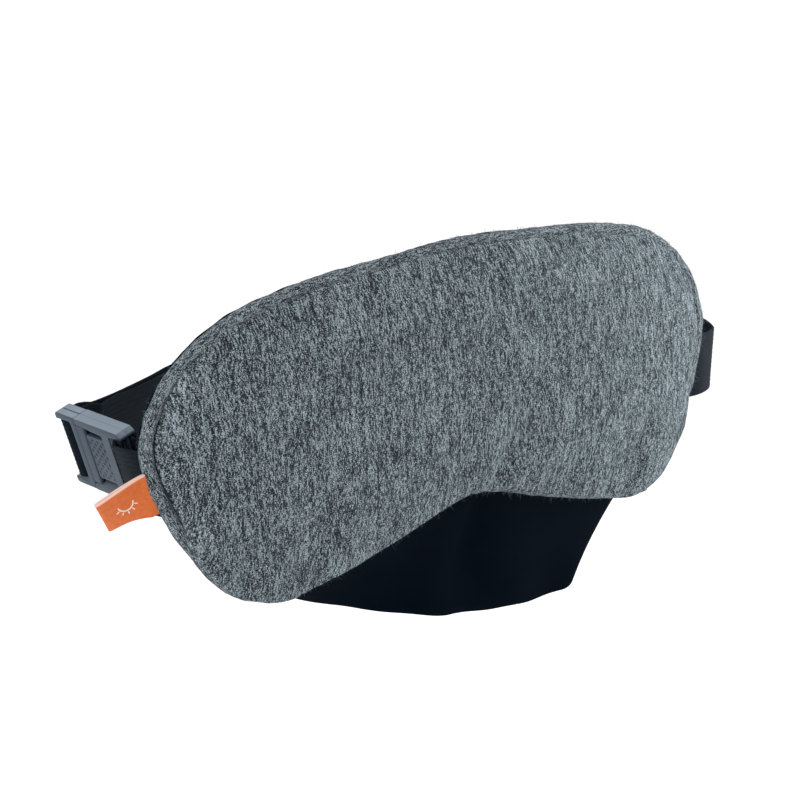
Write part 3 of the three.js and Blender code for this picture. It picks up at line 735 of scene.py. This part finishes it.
def finish_panel(piece, material, slot, node):
    """One subdivision, a UV laid out flat on the bent surface, the material, the body and the hidden solid."""
    smooth = piece.modifiers.new("smooth", "SUBSURF")
    smooth.levels = smooth.render_levels = 1
    apply_modifiers(piece)
    layout = unbend(places_of(piece))
    set_uv(piece.data, layout[:, [0, 2]])
    piece.data.shade_smooth()
    finish_piece(piece, material, "mask", slot, node)
    return piece


CLOTH_PRESSURE, CLOTH_CAP = 2.0, 1.4

front_panel, outer_count, border = cushion("front_panel", front_depth, -1)
blow_up(front_panel, outer_count, border, CLOTH_PRESSURE, growth=0.012, cap=CLOTH_CAP)
finish_panel(front_panel, heather_knit, "knit", "front_cover")

back_panel, outer_count, border = cushion("skin_panel", back_depth, 1)
blow_up(back_panel, outer_count, border, CLOTH_PRESSURE, growth=0.015, cap=CLOTH_CAP)
finish_panel(back_panel, lining_jersey, "satin", "back_cover")


# ---------- rim ----------
def rim_ring(name, section_angles, radii, centre_inset, centre_depth, count=620, seed=1, waviness=0.06):
    """A soft roll round the outline: an oval section at every share, whose size wavers a little with smooth
    noise. The section's angle 0 points outwards and 90 degrees points to the front."""
    share = np.arange(count) / count
    turn = np.stack([np.cos(2 * np.pi * share), np.sin(2 * np.pi * share)], 1)
    swell = 1 + waviness * smooth_noise(turn, 0.09, seed, 3)
    drift = 0.18 * smooth_noise(turn, 0.12, seed + 7, 2)
    angle = np.asarray(section_angles)
    out = np.cos(angle)[None] * radii[0] * swell[:, None]
    forward = np.sin(angle)[None] * radii[1] * swell[:, None]
    inset = (centre_inset - out - drift[:, None]).ravel()
    flat = outline_at(np.repeat(share, len(angle)), inset)
    low = low_share(outline_at(share, np.zeros(count))[:, 1])
    depth = (centre_depth + 0.9 * low[:, None] - forward).ravel()
    layout = np.stack([flat[:, 0], depth, flat[:, 1]], 1)
    around = np.repeat(share * np.linalg.norm(np.diff(outline, axis=0), axis=1).sum(), len(angle))
    along = np.tile(angle * radii[0], count)
    faces = grid_faces(count, len(angle), wrap_rows=True, wrap_columns=True)
    return make_mesh(name, bend(layout), faces[:, ::-1], uv=np.stack([along, around], 1))


full_turn = np.linspace(0, 2 * np.pi, 25)[:-1]
RIM_RADII, RIM_INSET, RIM_DEPTH = (2.05, 1.75), 1.95, -0.55
rim = rim_ring("knit_rim", full_turn, RIM_RADII, RIM_INSET, RIM_DEPTH, seed=3)
finish_piece(rim, rim_knit, "mask", "knit", "edge_piping")
rim_lining = rim_ring("lining_rim", full_turn, (1.75, 1.45), 1.95, 1.0, seed=11, waviness=0.05)
finish_piece(rim_lining, lining_jersey, "mask", "satin")


# ---------- lint ----------
LABEL_PLACE, LABEL_CLEARANCE = [-106, -4], 12  # no fibre roots this near the label
# A fibre's triangles: corners 0 to 2 are its root, 3 to 5 its middle and 6 its tip.
FIBRE_FACES = [
    (0, 1, 4), (0, 4, 3), (1, 2, 5), (1, 5, 4), (2, 0, 3), (2, 3, 5),
    (3, 4, 6), (4, 5, 6), (5, 3, 6), (2, 1, 0),
]


def lint(count=2600, seed=5):
    """Short stray fibres on the knit rim. Each is a three-sided spike: it leaves the rim along the section's
    outward direction, leans a random way and bends over towards its tip."""
    random = np.random.default_rng(seed)
    share = random.uniform(0, 1, count)
    from_label = np.linalg.norm(outline_at(share, np.zeros(count)) - LABEL_PLACE, axis=1)
    at_label = from_label < LABEL_CLEARANCE
    share = np.where(at_label, random.uniform(0, 0.5, count), share)
    angle = random.uniform(-0.6, 1.9, count)
    length = random.uniform(0.35, 1.25, count)[:, None]
    radius = random.uniform(0.022, 0.042, count)[:, None]
    lean, droop = random.normal(size=(count, 3)) * 0.55, random.normal(size=(count, 3)) * 0.45
    low = low_share(outline_at(share, np.zeros(count))[:, 1])

    def rim_point(proud):
        """Places that stand proud of the rim's surface by the given amount."""
        reach_out = (RIM_RADII[0] + proud) * np.cos(angle)
        reach_front = (RIM_RADII[1] + proud) * np.sin(angle)
        flat = outline_at(share, RIM_INSET - reach_out)
        return bend(np.stack([flat[:, 0], RIM_DEPTH + 0.9 * low - reach_front, flat[:, 1]], 1))

    root = rim_point(-0.25)
    grow = rim_point(1.0) - root
    grow = grow / np.linalg.norm(grow, axis=1)[:, None] + lean
    middle = root + grow * (length * 0.5 + 0.12)
    tip = middle + (grow + droop) * length * 0.5
    side = np.cross(grow, random.normal(size=(count, 3)))
    side /= np.linalg.norm(side, axis=1)[:, None]
    other = np.cross(grow / np.linalg.norm(grow, axis=1)[:, None], side)
    rings = []
    for centre, share_of_radius in ((root, 1.0), (middle, 0.8)):
        for turn in np.arange(3) * 2 * np.pi / 3:
            rings.append(centre + (side * math.cos(turn) + other * math.sin(turn)) * radius * share_of_radius)
    places = np.stack([*rings, tip], 1).reshape(-1, 3)
    faces = (np.array(FIBRE_FACES)[None] + 7 * np.arange(count)[:, None, None]).reshape(-1, 3)
    return make_mesh("rim_lint", places, faces)


stray_fibre = plain_material("stray_fibre", (0.10, 0.125, 0.14), 0.9)
finish_piece(lint(), stray_fibre, "mask", "knit")


# ---------- webbing ----------
def station(x, y, z, up=(0, 0, 1)):
    """A point of a ribbon's line and the direction of its width there."""
    return (x, y, z), up


RIB_PITCH, RIB_HEIGHT = 1.5, 0.055


def web_section(width, thick, per_rib=4):
    """(across, through) pairs of a closed flat section with long ribs on both faces and round selvedges."""
    count = int(width / RIB_PITCH * per_rib)
    edge = thick * 0.5
    w = np.linspace(-width / 2 + edge, width / 2 - edge, count)
    h = thick / 2 + RIB_HEIGHT * (np.cos(2 * np.pi * w / RIB_PITCH) - 1)
    side = np.linspace(-np.pi / 2, np.pi / 2, 7)[1:-1]
    right = np.stack([width / 2 - edge + edge * np.cos(side), edge * np.sin(side)], 1)
    top = np.stack([w[::-1], h[::-1]], 1)
    bottom = np.stack([w, -h], 1)
    return np.vstack([bottom, right, top, -right])


def ribbon(name, stations, step=1.3, width=WEB_WIDTH, thick=WEB_THICK, start=0.0, section=None):
    """A flat band: its section is carried along a smooth line, with the section's across axis along each
    station's up direction. The ends are closed. UV counts millimetres along and across."""
    centres = [s[0] for s in stations]
    rough = sum(np.linalg.norm(np.subtract(a, b)) for a, b in zip(centres, centres[1:]))
    count = max(8, int(rough / step))
    both = smooth_line([(*c, *np.multiply(u, 12)) for c, u in stations], count)
    line, up = both[:, :3], both[:, 3:]
    tangent = np.gradient(line, axis=0)
    tangent /= np.linalg.norm(tangent, axis=1)[:, None]
    up = up - tangent * (up * tangent).sum(1)[:, None]
    up /= np.linalg.norm(up, axis=1)[:, None]
    through = np.cross(tangent, up)
    section = web_section(width, thick) if section is None else section
    across_part = up[:, None] * section[None, :, :1]
    places = (line[:, None] + across_part + through[:, None] * section[None, :, 1:]).reshape(-1, 3)
    size = len(section)
    faces = [list(f) for f in grid_faces(count, size, wrap_columns=True)[:, ::-1]]
    faces += [list(range(size)), list(range((count - 1) * size, count * size))[::-1]]
    reach = start + np.concatenate([[0], np.cumsum(np.linalg.norm(np.diff(line, axis=0), axis=1))])
    uv = np.stack([np.repeat(reach, size), np.tile(section[:, 0], count)], 1)
    return make_mesh(name, places, faces, uv=uv)


# Buckle axes: along it towards the plug, up it, and through it towards the head.
BUCKLE_CENTRE = np.array([-90.8, 47.6, -5.1])
along_buckle = np.array([-0.086, 0.994, 0.069]) / np.linalg.norm([-0.086, 0.994, 0.069])
through_buckle = np.cross(along_buckle, [-0.298, -0.092, 0.95])
through_buckle /= np.linalg.norm(through_buckle)
BUCKLE_AXES = np.array([along_buckle, np.cross(through_buckle, along_buckle), through_buckle])
BUCKLE_UP = tuple(BUCKLE_AXES[1])
END, TOP, FACE = 15.6, 12.3, 2.7  # half its length, half its height and half its thickness
BAR_X, PLUG_BAR_X, BAR_RADIUS, SEAM_X = 12.3, 13.2, 1.0, 6.6
WRAP_RADIUS = BAR_RADIUS + WEB_THICK / 2 + 0.35


def in_buckle(x, z, y=0.0):
    """A place given along, through and up the buckle."""
    return tuple(BUCKLE_CENTRE + BUCKLE_AXES[0] * x + BUCKLE_AXES[1] * y + BUCKLE_AXES[2] * z)


def wrap(bar_x, middle, turn):
    """Half a turn round a bar. The middle angle runs from along the buckle towards its inner side."""
    angles = np.radians(middle + turn * np.array([-90, -45, 0, 45, 90]))
    ring = [(bar_x + WRAP_RADIUS * math.cos(a), WRAP_RADIUS * math.sin(a)) for a in angles]
    return [(in_buckle(x, z), BUCKLE_UP) for x, z in ring]


def leaning(amount):
    """An up direction that leans away to the wearer's side strap by the given amount."""
    return (-amount, 0, 1)


short_web = [
    station(-101.2, 1.5, -3.2, leaning(0.25)), station(-101.6, 6.3, -3.2, leaning(0.25)),
    station(-101.8, 10.5, -3.6, leaning(0.25)), station(-100.9, 16.5, -4.6, leaning(0.25)),
    station(-98.3, 23.3, -6.1, leaning(0.25)), station(-94.8, 31, -7.7, leaning(0.27)), *wrap(-BAR_X, 37, 1),
    station(-88.9, 30.2, -6.2, leaning(0.28)), station(-90.8, 25.6, -6.2, leaning(0.15)),
    station(-93.6, 21.2, -5.2, leaning(0.2)), station(-97.2, 15.8, -4.3, leaning(0.22)),
]
short_webbing = ribbon("short_webbing_band", short_web, step=0.8)
finish_piece(short_webbing, elastic_webbing, None, "webbing", "short_webbing")
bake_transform(short_webbing)

CUT_X = -40.0
BAND_Y = 98.5
SLIDER_X = -2.0
right_half = [
    station(102.4, 2.0, -10.2, leaning(-0.4)), station(105.4, 5.8, -10.2, leaning(-0.3)),
    station(112.5, 6.9, -10.2, leaning(-0.06)),
    station(119.8, 10, -10, leaning(-0.13)), station(124.5, 15.5, -10, leaning(-0.13)),
    station(128.5, 23.5, -9.7, leaning(-0.1)), station(130, 33, -9.2, leaning(-0.05)),
    station(127.5, 47, -8.6), station(117, 64, -7.5), station(96, 81.5, -6.5), station(68, 93.5, -6), station(40, BAND_Y - 0.5, -6),
    station(20, BAND_Y, -6), station(0, BAND_Y, -6), station(-6, BAND_Y, -6),
]
left_half = [
    station(-3, BAND_Y + 0.1, -6), station(-10, BAND_Y, -6), station(-25, BAND_Y - 1.6, -5.4),
    station(CUT_X, 91, -5), station(-50, 85, -5), station(-62, 78.2, -5, leaning(0.05)),
    station(-75, 71.1, -4.8, leaning(0.12)), station(-83.6, 66.3, -4.2, leaning(0.24)),
    (in_buckle(16.8, 3.2), BUCKLE_UP),
    *wrap(PLUG_BAR_X, -116, -1), (in_buckle(13.1, 4.2), BUCKLE_UP), station(-82.8, 62.1, -4.3, leaning(0.24)),
    station(-73.4, 68.2, -4.4, leaning(0.15)), station(-62, 74.9, -5, leaning(0.05)), station(-50, 81.6, -5),
    station(CUT_X, 87.3, -5), station(-26, BAND_Y - 6.2, -5.5), station(-15, BAND_Y - 4.2, -6),
    station(-9.2, BAND_Y - 3.9, -6),
]
rear_band = ribbon("rear_band", right_half, step=1.4)
finish_piece(rear_band, elastic_webbing, None, "webbing", "rear_webbing")
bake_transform(rear_band)
plug_band = ribbon("plug_band", left_half, step=1.0, start=240)
finish_piece(plug_band, elastic_webbing, None, "webbing", "plug_webbing", "return_webbing")
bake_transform(plug_band)

end_loop = [
    station(-8.5, BAND_Y - 3.7, -6), station(SLIDER_X - 3.6, BAND_Y - 4.7, -6),
    station(SLIDER_X - 1, BAND_Y - 5.1, -6),
    station(SLIDER_X + 1.5, BAND_Y - 4.4, -6), station(SLIDER_X + 1.9, BAND_Y - 3.2, -6),
    station(SLIDER_X + 1, BAND_Y - 1.9, -6),
]
end_loop_band = ribbon("strap_end_loop_band", end_loop, step=0.5, thick=0.9)
finish_piece(end_loop_band, elastic_webbing, "slider", "webbing", "strap_end_loop")

# ---------- buckle ----------
def rounded(corners, segments=4):
    """A closed flat outline with its corners rounded: each corner is (x, y, radius)."""
    points = []
    for index, (x, y, radius) in enumerate(corners):
        here = np.array([x, y], float)
        if not radius:
            points.append(here)
            continue
        before = np.array(corners[index - 1][:2]) - here
        after = np.array(corners[(index + 1) % len(corners)][:2]) - here
        a = here + before / np.linalg.norm(before) * radius
        b = here + after / np.linalg.norm(after) * radius
        t = np.linspace(0, 1, segments + 1)[:, None]
        points.extend(a * (1 - t) ** 2 + here * 2 * t * (1 - t) + b * t**2)
    return np.array(points)


def slab(outline_xy, low, high):
    """Places and faces of a flat outline drawn out through the buckle from low to high."""
    count = len(outline_xy)
    flat = [np.column_stack([outline_xy, np.full(count, z)]) for z in (low, high)]
    local = np.vstack(flat)
    index = np.arange(count)
    after = (index + 1) % count
    area = np.cross(outline_xy, np.roll(outline_xy, -1, 0)).sum()
    walls = np.stack([index, after, after + count, index + count], 1).tolist()
    caps = [index[::-1].tolist(), (index + count).tolist()]
    faces = walls + caps
    if area < 0:
        faces = [face[::-1] for face in faces]
    return BUCKLE_CENTRE + local @ BUCKLE_AXES, faces


def slab_piece(name, slabs, bevel=0.3, segments=3):
    """One piece from several slabs, with every edge rounded."""
    parts = []
    for number, (outline_xy, low, high) in enumerate(slabs):
        places, faces = slab(outline_xy, low, high)
        part = make_mesh(f"{name}_{number}", places, faces, smooth=False)
        rounding = part.modifiers.new("rounding", "BEVEL")
        rounding.width = min(bevel, (high - low) * 0.3) * MM
        rounding.segments = segments
        rounding.limit_method = "ANGLE"
        rounding.angle_limit = math.radians(40)
        rounding.harden_normals = False
        parts.append(apply_modifiers(part))
    piece = join_pieces(name, parts)
    local = (places_of(piece) - BUCKLE_CENTRE) @ BUCKLE_AXES.T
    set_uv(piece.data, local[:, :2])
    piece.data.shade_smooth()
    piece.data.set_sharp_from_angle(angle=math.radians(35))
    return piece


def box_outline(x0, x1, half_y, radius=0.0):
    """A rectangle about the buckle's middle line."""
    return rounded([(x0, -half_y, radius), (x1, -half_y, radius), (x1, half_y, radius), (x0, half_y, radius)])


RAIL_INNER = 10.3
COLLAR_X, LEDGE_X = 9.1, 10.4  # where the webbing's window starts, on the face and behind it
SEAM_GAP = 0.12


def plug_outline(window_x):
    """The plug's frame: a rectangle, open at the window between its two rails."""
    return rounded([
        (SEAM_X + SEAM_GAP, -TOP, 0), (END + 0.3, -TOP, 1.2), (END + 0.3, -RAIL_INNER + 0.3, 0.5),
        (window_x, -RAIL_INNER, 1.0), (window_x, RAIL_INNER, 1.0), (END + 0.3, RAIL_INNER - 0.3, 0.5),
        (END + 0.3, TOP, 1.2), (SEAM_X + SEAM_GAP, TOP, 0),
    ])


SOCKET_END = SEAM_X - SEAM_GAP
socket_frame = rounded([
    (SOCKET_END, -TOP, 0), (SOCKET_END, -RAIL_INNER, 0.4), (-5.8, -9.3, 1.0), (-5.8, 9.3, 1.0),
    (SOCKET_END, RAIL_INNER, 0.4), (SOCKET_END, TOP, 0), (-END + 1.6, TOP, 0), (-END, TOP - 1.3, 0.4),
    (-END, RAIL_INNER, 0.4), (-9.1, RAIL_INNER - 0.3, 0.8), (-9.1, -RAIL_INNER + 0.3, 0.8),
    (-END, -RAIL_INNER, 0.4), (-END, -TOP + 1.3, 0.4), (-END + 1.6, -TOP, 0),
][::-1])
blade = rounded([(-7, -7.6, 1.5), (SEAM_X + 1, -8.4, 0), (SEAM_X + 1, 8.4, 0), (-7, 7.6, 1.5)])
crossbar = box_outline(3.4, SEAM_X + 0.3, 9.8)
plug_shell = slab_piece("plug_shell", [
    (plug_outline(COLLAR_X), -FACE, -0.03), (plug_outline(LEDGE_X), 0.03, FACE),
    (crossbar, -FACE + 0.15, -1.3), (blade, 0, 1.2),
    (box_outline(PLUG_BAR_X - 0.9, PLUG_BAR_X + 0.9, 10.8), -0.9, 0.9),
])
socket_shell = slab_piece("socket_shell", [
    (socket_frame, -FACE, -0.03), (socket_frame, 0.03, FACE),
    (box_outline(-8.9, SOCKET_END, 10.8), 1.45, 2.55),
    (box_outline(-BAR_X - 0.9, -BAR_X + 0.9, 10.8), -0.9, 0.9),
])
tongue_pad = slab_piece("tongue_pad", [(box_outline(-5.45, 3.1, 7.5, 0.8), -2.3, -1.0)], bevel=0.25)
finish_piece(plug_shell, buckle_plastic, "plug", "plastic", "buckle_plug")
finish_piece(socket_shell, buckle_plastic, "strap", "plastic", "buckle_socket")
finish_piece(tongue_pad, tongue_material(), "tongue", "plastic", "buckle_tongue")

# ---------- nose flap ----------
FLAP_COLUMNS, FLAP_ROWS = 121, 41
FLAP_TOP_HALF, FLAP_BOTTOM_HALF, FLAP_DEPTH = 66.0, 53.0, 2.9


def lower_edge(arc):
    """Height of the outline's lower branch at an arc position."""
    lower = outline[(outline[:, 1] < 0) & (np.abs(outline[:, 0]) < 90)]
    lower = lower[np.argsort(lower[:, 0])]
    return np.interp(arc, lower[:, 0], lower[:, 1])


def flap_surface(side, down):
    """side runs -1 to 1 across and down 0 to 1 from the seam to the hem. The seam follows the mask's lower
    edge. The hem hangs lowest on the right and swings back and up to the left. One pleat falls from the
    notch, soft folds fan out of it, and the free edge ripples a little."""
    arc = side * FLAP_TOP_HALF
    top = bend(np.stack([arc, np.full(len(arc), FLAP_DEPTH), lower_edge(arc) + 2.2], 1))
    left, right = np.maximum(-side, 0), np.maximum(side, 0)
    back = 4.4 + 19 * np.maximum(left - 0.05, 0) ** 1.3 + 1.6 * right**2
    height = -67.0 + 16 * left**1.25 - 4.4 * np.sin(np.minimum(right / 0.75, 1) * np.pi / 2)
    corner = np.clip((np.abs(side) - 0.86) / 0.14, 0, 1)
    hem_arc = side * FLAP_BOTTOM_HALF - 2.2 * np.sign(side) * corner**3
    hem = np.stack([hem_arc, back, height + 3.2 * corner**2], 1)
    place = top + (hem - top) * down[:, None]
    place[:, 1] += 2.0 * np.sin(np.pi * down)
    place[:, 0] += 1.6 * side**3 * np.sin(np.pi * down)
    spread = 3.0 + 8 * down
    pleat = np.exp(-(((side - 0.1) * 62 / spread) ** 2)) * np.sin(np.pi * np.clip(down * 1.05, 0, 1)) ** 0.8
    folds = np.sin(side * 13 - down * 2.4) * np.exp(-(((side - 0.35) / 0.4) ** 2)) * down * (1 - 0.5 * down)
    place[:, 1] += 2.8 * pleat + 1.3 * folds
    ripple = np.sin(side * 11.0 + 0.6) * 0.5 + np.sin(side * 19.0) * 0.15
    place[:, 1] += ripple * down**2
    place[:, 2] += 0.15 * np.sin(side * 17) * down**6
    return place


side, down = np.meshgrid(np.linspace(-1, 1, FLAP_COLUMNS), np.linspace(0, 1, FLAP_ROWS))
flap_places = flap_surface(side.ravel(), down.ravel())
flap_uv = np.stack([flap_places[:, 0], flap_places[:, 2]], 1)
flap_faces = grid_faces(FLAP_ROWS, FLAP_COLUMNS)[:, ::-1]
nose_flap = make_mesh("nose_flap_cloth", flap_places, flap_faces, uv=flap_uv)
wall = nose_flap.modifiers.new("wall", "SOLIDIFY")
wall.thickness, wall.offset = 0.0007, 0.0
apply_modifiers(nose_flap)
nose_flap.data.shade_smooth()
finish_piece(nose_flap, lining_jersey, None, "satin", "nose_flap")
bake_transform(nose_flap)

# ---------- label ----------
LABEL_WIDTH, LABEL_REACH, LABEL_THICK, LABEL_FOLD = 12.6, 12.7, 0.5, 0.3
label_root = np.array([-106.5, 1.9, -4.9])
label_out = np.array([-0.939, 0.162, -0.297]) / np.linalg.norm([-0.939, 0.162, -0.297])
label_ups = np.array([[-0.33, -0.03, 0.944], [-0.51, -0.39, 0.764]])


def label_surface(columns=90, rows=25):
    """A ribbon folded in two. Its path, seen along its edge, is a flat hairpin: out along the front layer,
    round a small fold and back along the rear layer. Across, it follows an up direction that twists on the
    way out, so that the outer lower corner lies further back. Both layers bow gently."""
    fold, straight = LABEL_FOLD, LABEL_REACH - LABEL_FOLD
    start = -3.0
    run = straight - start
    total = 2 * run + np.pi * fold
    walk = np.linspace(0, total, columns)
    angle = np.clip((walk - run) / fold, 0, np.pi)
    rear = straight - (walk - run - np.pi * fold)
    out = np.where(angle < np.pi, straight + fold * np.sin(angle), rear)
    out = np.where(walk < run, start + walk, out)
    layer = -fold * np.cos(angle)
    squeeze = 0.95
    bow = 0.12 * np.sin(np.pi * np.clip(out / LABEL_REACH, 0, 1))
    across = np.linspace(-0.5, 0.5, rows)
    share = np.clip(out / LABEL_REACH, 0, 1)[:, None]
    up = label_ups[0] * (1 - share) + label_ups[1] * share
    up /= np.linalg.norm(up, axis=1)[:, None]
    normal = np.cross(label_out, up)
    normal *= np.sign(normal[:, 1])[:, None]
    cup = 0.5 * (across[None] * 2) ** 2 * share
    lift = (layer * squeeze + bow * np.sign(layer))[:, None] + cup
    swell = np.sin(np.pi * np.clip(out / LABEL_REACH, 0, 1))
    arch = 1.3 * swell[:, None] * np.maximum(-2 * across[None], 0) ** 2
    width = LABEL_WIDTH * across[None] + arch
    line = (label_root + label_out * out[:, None])[:, None]
    place = line + up[:, None] * width[..., None] + normal[:, None] * lift[..., None]
    uv = np.stack(np.broadcast_arrays(walk[:, None], LABEL_WIDTH * across[None]), -1)
    return place.reshape(-1, 3), grid_faces(columns, rows), uv.reshape(-1, 2)


MARK_PLACE, LID_RADIUS = (8.6, 1.6), 2.3


def label_mark(net, split):
    """A closed eye drawn in pale thread: the lower half of a ring, and five short rays below it."""
    x = net.minus(split[0], MARK_PLACE[0])
    y = net.minus(split[1], MARK_PLACE[1])
    distance = net.math("SQRT", net.plus(net.math("POWER", x, 2.0), net.math("POWER", y, 2.0)))
    below = net.math("LESS_THAN", y, -0.25)
    lid = net.math("LESS_THAN", net.apart(distance, LID_RADIUS), 0.2)
    turn = net.math("DIVIDE", net.math("ARCTAN2", x, net.times(y, -1.0)), math.pi / 6)
    from_ray = net.apart(turn, net.math("ROUND", turn))
    ray = net.math("LESS_THAN", net.times(from_ray, distance), 0.34)
    long = net.math("LESS_THAN", net.apart(distance, LID_RADIUS + 0.95), 0.5)
    return net.times(net.math("MAXIMUM", lid, net.times(ray, long)), below)


def label_material():
    """Orange woven ribbon with a pale selvedge along its top edge."""
    material, net, shader = new_material("orange_woven_ribbon", roughness=0.6, sheen=0.04, specular=0.25)
    vector = uv_vector(net)
    split = net.split(vector)
    weave = net.times(net.math("SINE", net.times(split[0], 2 * math.pi / 0.3)),
                     net.math("SINE", net.times(split[1], 2 * math.pi / 0.22)))
    pale = net.rescale(split[1], LABEL_WIDTH / 2 - 0.7, LABEL_WIDTH / 2 - 0.35)
    mark = label_mark(net, split)
    tone = net.noise(vector, 0.8, 3.0)
    orange = net.ramp(tone, [(0.3, (0.46, 0.095, 0.017)), (0.7, (0.54, 0.122, 0.024))])
    colour = net.mix(pale, orange, (0.62, 0.40, 0.34, 1))
    colour = net.mix(mark, colour, (0.66, 0.54, 0.49, 1))
    net.put(shader.inputs["Base Color"], colour)
    raised = net.plus(net.times(weave, 0.5), net.times(mark, 2.0))
    bump(net, shader, raised, 0.5, 0.00008)
    return material


label_places, label_faces, label_uv = label_surface()
label_ribbon = make_mesh("label_ribbon", label_places, label_faces, uv=label_uv)
ply = label_ribbon.modifiers.new("ply", "SOLIDIFY")
ply.thickness, ply.offset = LABEL_THICK * MM, 0.0
apply_modifiers(label_ribbon)
label_ribbon.data.shade_smooth()
finish_piece(label_ribbon, label_material(), "label", "label", "label_tab")

# ---------- floor and light ----------
def add_floor():
    """A wide pale floor below the mask."""
    size = 6000.0
    height = -160.0
    corners = [(x * size, y * size, height) for x, y in ((-1, -1), (1, -1), (1, 1), (-1, 1))]
    floor = make_mesh("floor", corners, [[0, 1, 2, 3]])
    material, _, shader = new_material("pale_floor", roughness=0.9)
    shader.inputs["Base Color"].default_value = (0.96, 0.96, 0.96, 1)
    floor.data.materials.append(material)


def add_sun(name, towards, strength, spread):
    """A soft light from a direction; the spread, in degrees, softens its shadows."""
    data = bpy.data.lights.new(name, "SUN")
    data.energy, data.angle = strength, math.radians(spread)
    lamp = bpy.data.objects.new(name, data)
    scene.collection.objects.link(lamp)
    lamp.rotation_euler = Vector(towards).to_track_quat("Z", "Y").to_euler()


def add_softbox(name, place, aim, size, power):
    """A square soft light near the mask, so that the end of the mask next to it is the brightest."""
    data = bpy.data.lights.new(name, "AREA")
    data.shape, data.size, data.energy = "SQUARE", size * MM, power
    lamp = bpy.data.objects.new(name, data)
    scene.collection.objects.link(lamp)
    lamp.location = Vector(place) * MM
    lamp.rotation_euler = (Vector(place) - Vector(aim)).to_track_quat("Z", "Y").to_euler()
    lamp.visible_camera = False


add_floor()
SKY = 0.2


def add_surroundings():
    """A dim even sky with a white band round the horizon, where the floor meets it."""
    world = bpy.data.worlds.new("studio")
    scene.world = world
    world.use_nodes = True
    net = Net(world.node_tree)
    direction = net.node("ShaderNodeTexCoord").outputs["Generated"]
    height = net.math("ABSOLUTE", net.split(direction)[2])
    sky = net.ramp(height, [(0.0, (1, 1, 1)), (0.16, (1, 1, 1)), (0.24, (SKY, SKY, SKY))])
    net.put(world.node_tree.nodes["Background"].inputs["Color"], sky)


add_surroundings()
add_sun("overhead", (0.1, 0.05, 1.0), 2.85, 50)
add_softbox("right_softbox", (330, -95, 50), (85, -5, 0), 240, 1.6)
add_softbox("left_softbox", (-330, -120, 120), (-100, 0, 0), 220, 0.7)
scene.view_settings.view_transform = "Standard"
